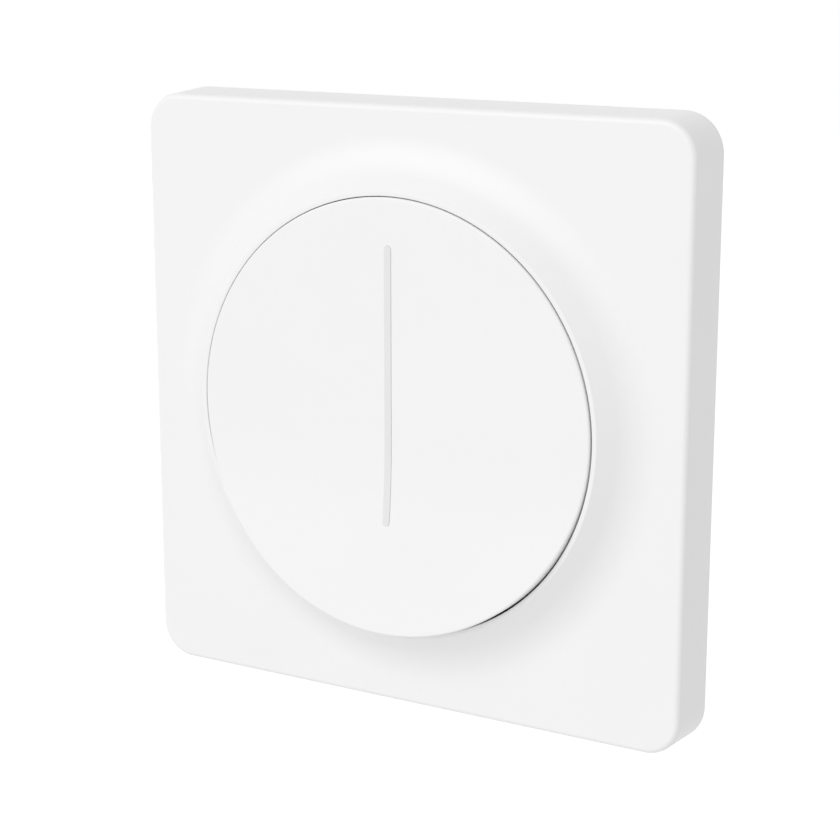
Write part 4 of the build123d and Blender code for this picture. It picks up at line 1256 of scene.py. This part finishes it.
class DIMMER_OT_power_parts(Operator):
    """Round the edges of the power board and the parts that stand on it, and finish them"""

    bl_idname = "dimmer.power_parts"
    bl_label = "Power parts"

    def execute(self, context):
        for node, slot, finish_name, edge_round in (
            ("power_board", "circuit_board", "solder_mask", 0.05 * MM),
            ("heat_sink", "aluminium", "extruded_aluminium", 0.15 * MM),
            ("power_transistors", "dark_plastic", "black_nylon", 0.15 * MM),
            ("filter_choke", "copper_winding", "enamelled_copper", 0.2 * MM),
            ("bulk_capacitor", "capacitor_sleeve", "shrunk_sleeve", 0.15 * MM),
            ("film_capacitor", "film_case", "dipped_epoxy", 0.5 * MM),
            ("fuse", "dark_plastic", "black_nylon", 0.4 * MM),
            ("varistor", "varistor_coat", "varistor_lacquer", 0.7 * MM),
            ("bridge_rectifier", "dark_plastic", "black_nylon", 0.25 * MM),
        ):
            soften(node, "base", slot, finish_name, edge_round)
        return {"FINISHED"}


# Stage
def towards(azimuth, elevation):
    """The direction from the object to a lamp or camera."""
    return Vector((sin(azimuth) * cos(elevation), -cos(azimuth) * cos(elevation), sin(elevation)))


def shown_directly(tree):
    """One for rays from the camera, from gloss and through glass, and none for light that falls on things."""
    path = tree.nodes.new("ShaderNodeLightPath").outputs
    either = add_node(tree, "Math", {0: path["Is Camera Ray"], 1: path["Is Glossy Ray"]}, operation="MAXIMUM")
    return add_node(tree, "Math", {0: either, 1: path["Is Transmission Ray"]}, operation="MAXIMUM")


class DIMMER_OT_stage(Operator):
    """Set up the camera, the soft light, the white surround and the floor"""

    bl_idname = "dimmer.stage"
    bl_label = "Stage"

    def execute(self, context):
        scene = context.scene
        settings = scene.dimmer_stage
        scene.view_settings.view_transform = "Standard"
        self.place_camera(scene, settings)
        self.light(scene, settings)
        self.lay_floor(scene, settings)
        return {"FINISHED"}

    def place_camera(self, scene, settings):
        """A long lens from the front right, a little above the object."""
        camera = bpy.data.objects.new("camera", bpy.data.cameras.new("camera"))
        camera.data.lens = settings.lens
        camera.data.clip_start = 0.01
        away = towards(settings.azimuth, settings.elevation)
        camera.location = Vector(settings.target) + away * settings.distance
        camera.rotation_euler = away.to_track_quat("Z", "Y").to_euler()
        scene.collection.objects.link(camera)
        scene.camera = camera

    def light(self, scene, settings):
        """Even light from a white room, and one wide soft lamp in front and above."""
        lamp = bpy.data.objects.new("soft_key", bpy.data.lights.new("soft_key", "SUN"))
        lamp.data.energy = settings.key_strength
        lamp.data.angle = settings.key_spread
        away = towards(settings.key_azimuth, settings.key_elevation)
        lamp.rotation_euler = away.to_track_quat("Z", "Y").to_euler()
        scene.collection.objects.link(lamp)
        world = bpy.data.worlds.new("white_room")
        world.use_nodes = True
        tree = world.node_tree
        brighter = {0: shown_directly(tree), 1: 1.0 - settings.ambient, 2: settings.ambient}
        strength = add_node(tree, "Math", brighter, operation="MULTIPLY_ADD")
        fill(tree, tree.nodes["Background"], {"Color": (1, 1, 1, 1), "Strength": strength})
        scene.world = world

    def lay_floor(self, scene, settings):
        """A plain pale floor that keeps the object's shadow and reads as white around it."""
        half = settings.floor_size / 2
        corners = [(-half, -half), (half, -half), (half, half), (-half, half)]
        mesh = bpy.data.meshes.new("floor")
        mesh.from_pydata([(x, y, -settings.floor_drop) for x, y in corners], [], [(0, 1, 2, 3)])
        floor = bpy.data.objects.new("floor", mesh)
        scene.collection.objects.link(floor)
        material = bpy.data.materials.new("painted_floor")
        material.use_nodes = True
        tree = material.node_tree
        fill(tree, tree.nodes["Principled BSDF"], {"Base Color": settings.floor_colour, "Roughness": 0.9})
        glow = add_node(tree, "Math", {0: shown_directly(tree), 1: settings.floor_lift}, operation="MULTIPLY")
        fill(tree, tree.nodes["Principled BSDF"], {"Emission Color": (1, 1, 1, 1), "Emission Strength": glow})
        mesh.materials.append(material)


OPERATORS = (
    DIMMER_OT_cover_frame, DIMMER_OT_press_plate, DIMMER_OT_light_bar, DIMMER_OT_chassis,
    DIMMER_OT_touch_board, DIMMER_OT_key_board, DIMMER_OT_board_screws, DIMMER_OT_base_screws,
    DIMMER_OT_bracket, DIMMER_OT_housing, DIMMER_OT_terminals, DIMMER_OT_power_parts, DIMMER_OT_stage,
)
GROUPS = {
    "dimmer_cover_frame": CoverFrameSizes,
    "dimmer_press_plate": PressPlateSizes,
    "dimmer_colours": FinishColours,
    "dimmer_stage": StageSettings,
}


class DIMMER_PT_build(Panel):
    """Sizes, colours and steps of the dimmer"""

    bl_idname = "DIMMER_PT_build"
    bl_label = "Dimmer"
    bl_space_type = "VIEW_3D"
    bl_region_type = "UI"
    bl_category = "Dimmer"

    def draw(self, context):
        for group_name in GROUPS:
            group = getattr(context.scene, group_name)
            box = self.layout.box()
            for prop_name in group.__annotations__:
                box.prop(group, prop_name)
        for operator in OPERATORS:
            self.layout.operator(operator.bl_idname)


def register():
    for group_name, group in GROUPS.items():
        bpy.utils.register_class(group)
        setattr(bpy.types.Scene, group_name, PointerProperty(type=group))
    for operator in OPERATORS:
        bpy.utils.register_class(operator)
    bpy.utils.register_class(DIMMER_PT_build)


def unregister():
    bpy.utils.unregister_class(DIMMER_PT_build)
    for operator in OPERATORS:
        bpy.utils.unregister_class(operator)
    for group_name, group in GROUPS.items():
        delattr(bpy.types.Scene, group_name)
        bpy.utils.unregister_class(group)


def main():
    register()
    for operator in OPERATORS:
        category, name = operator.bl_idname.split(".")
        getattr(getattr(bpy.ops, category), name)()


if __name__ == "__main__":
    main()
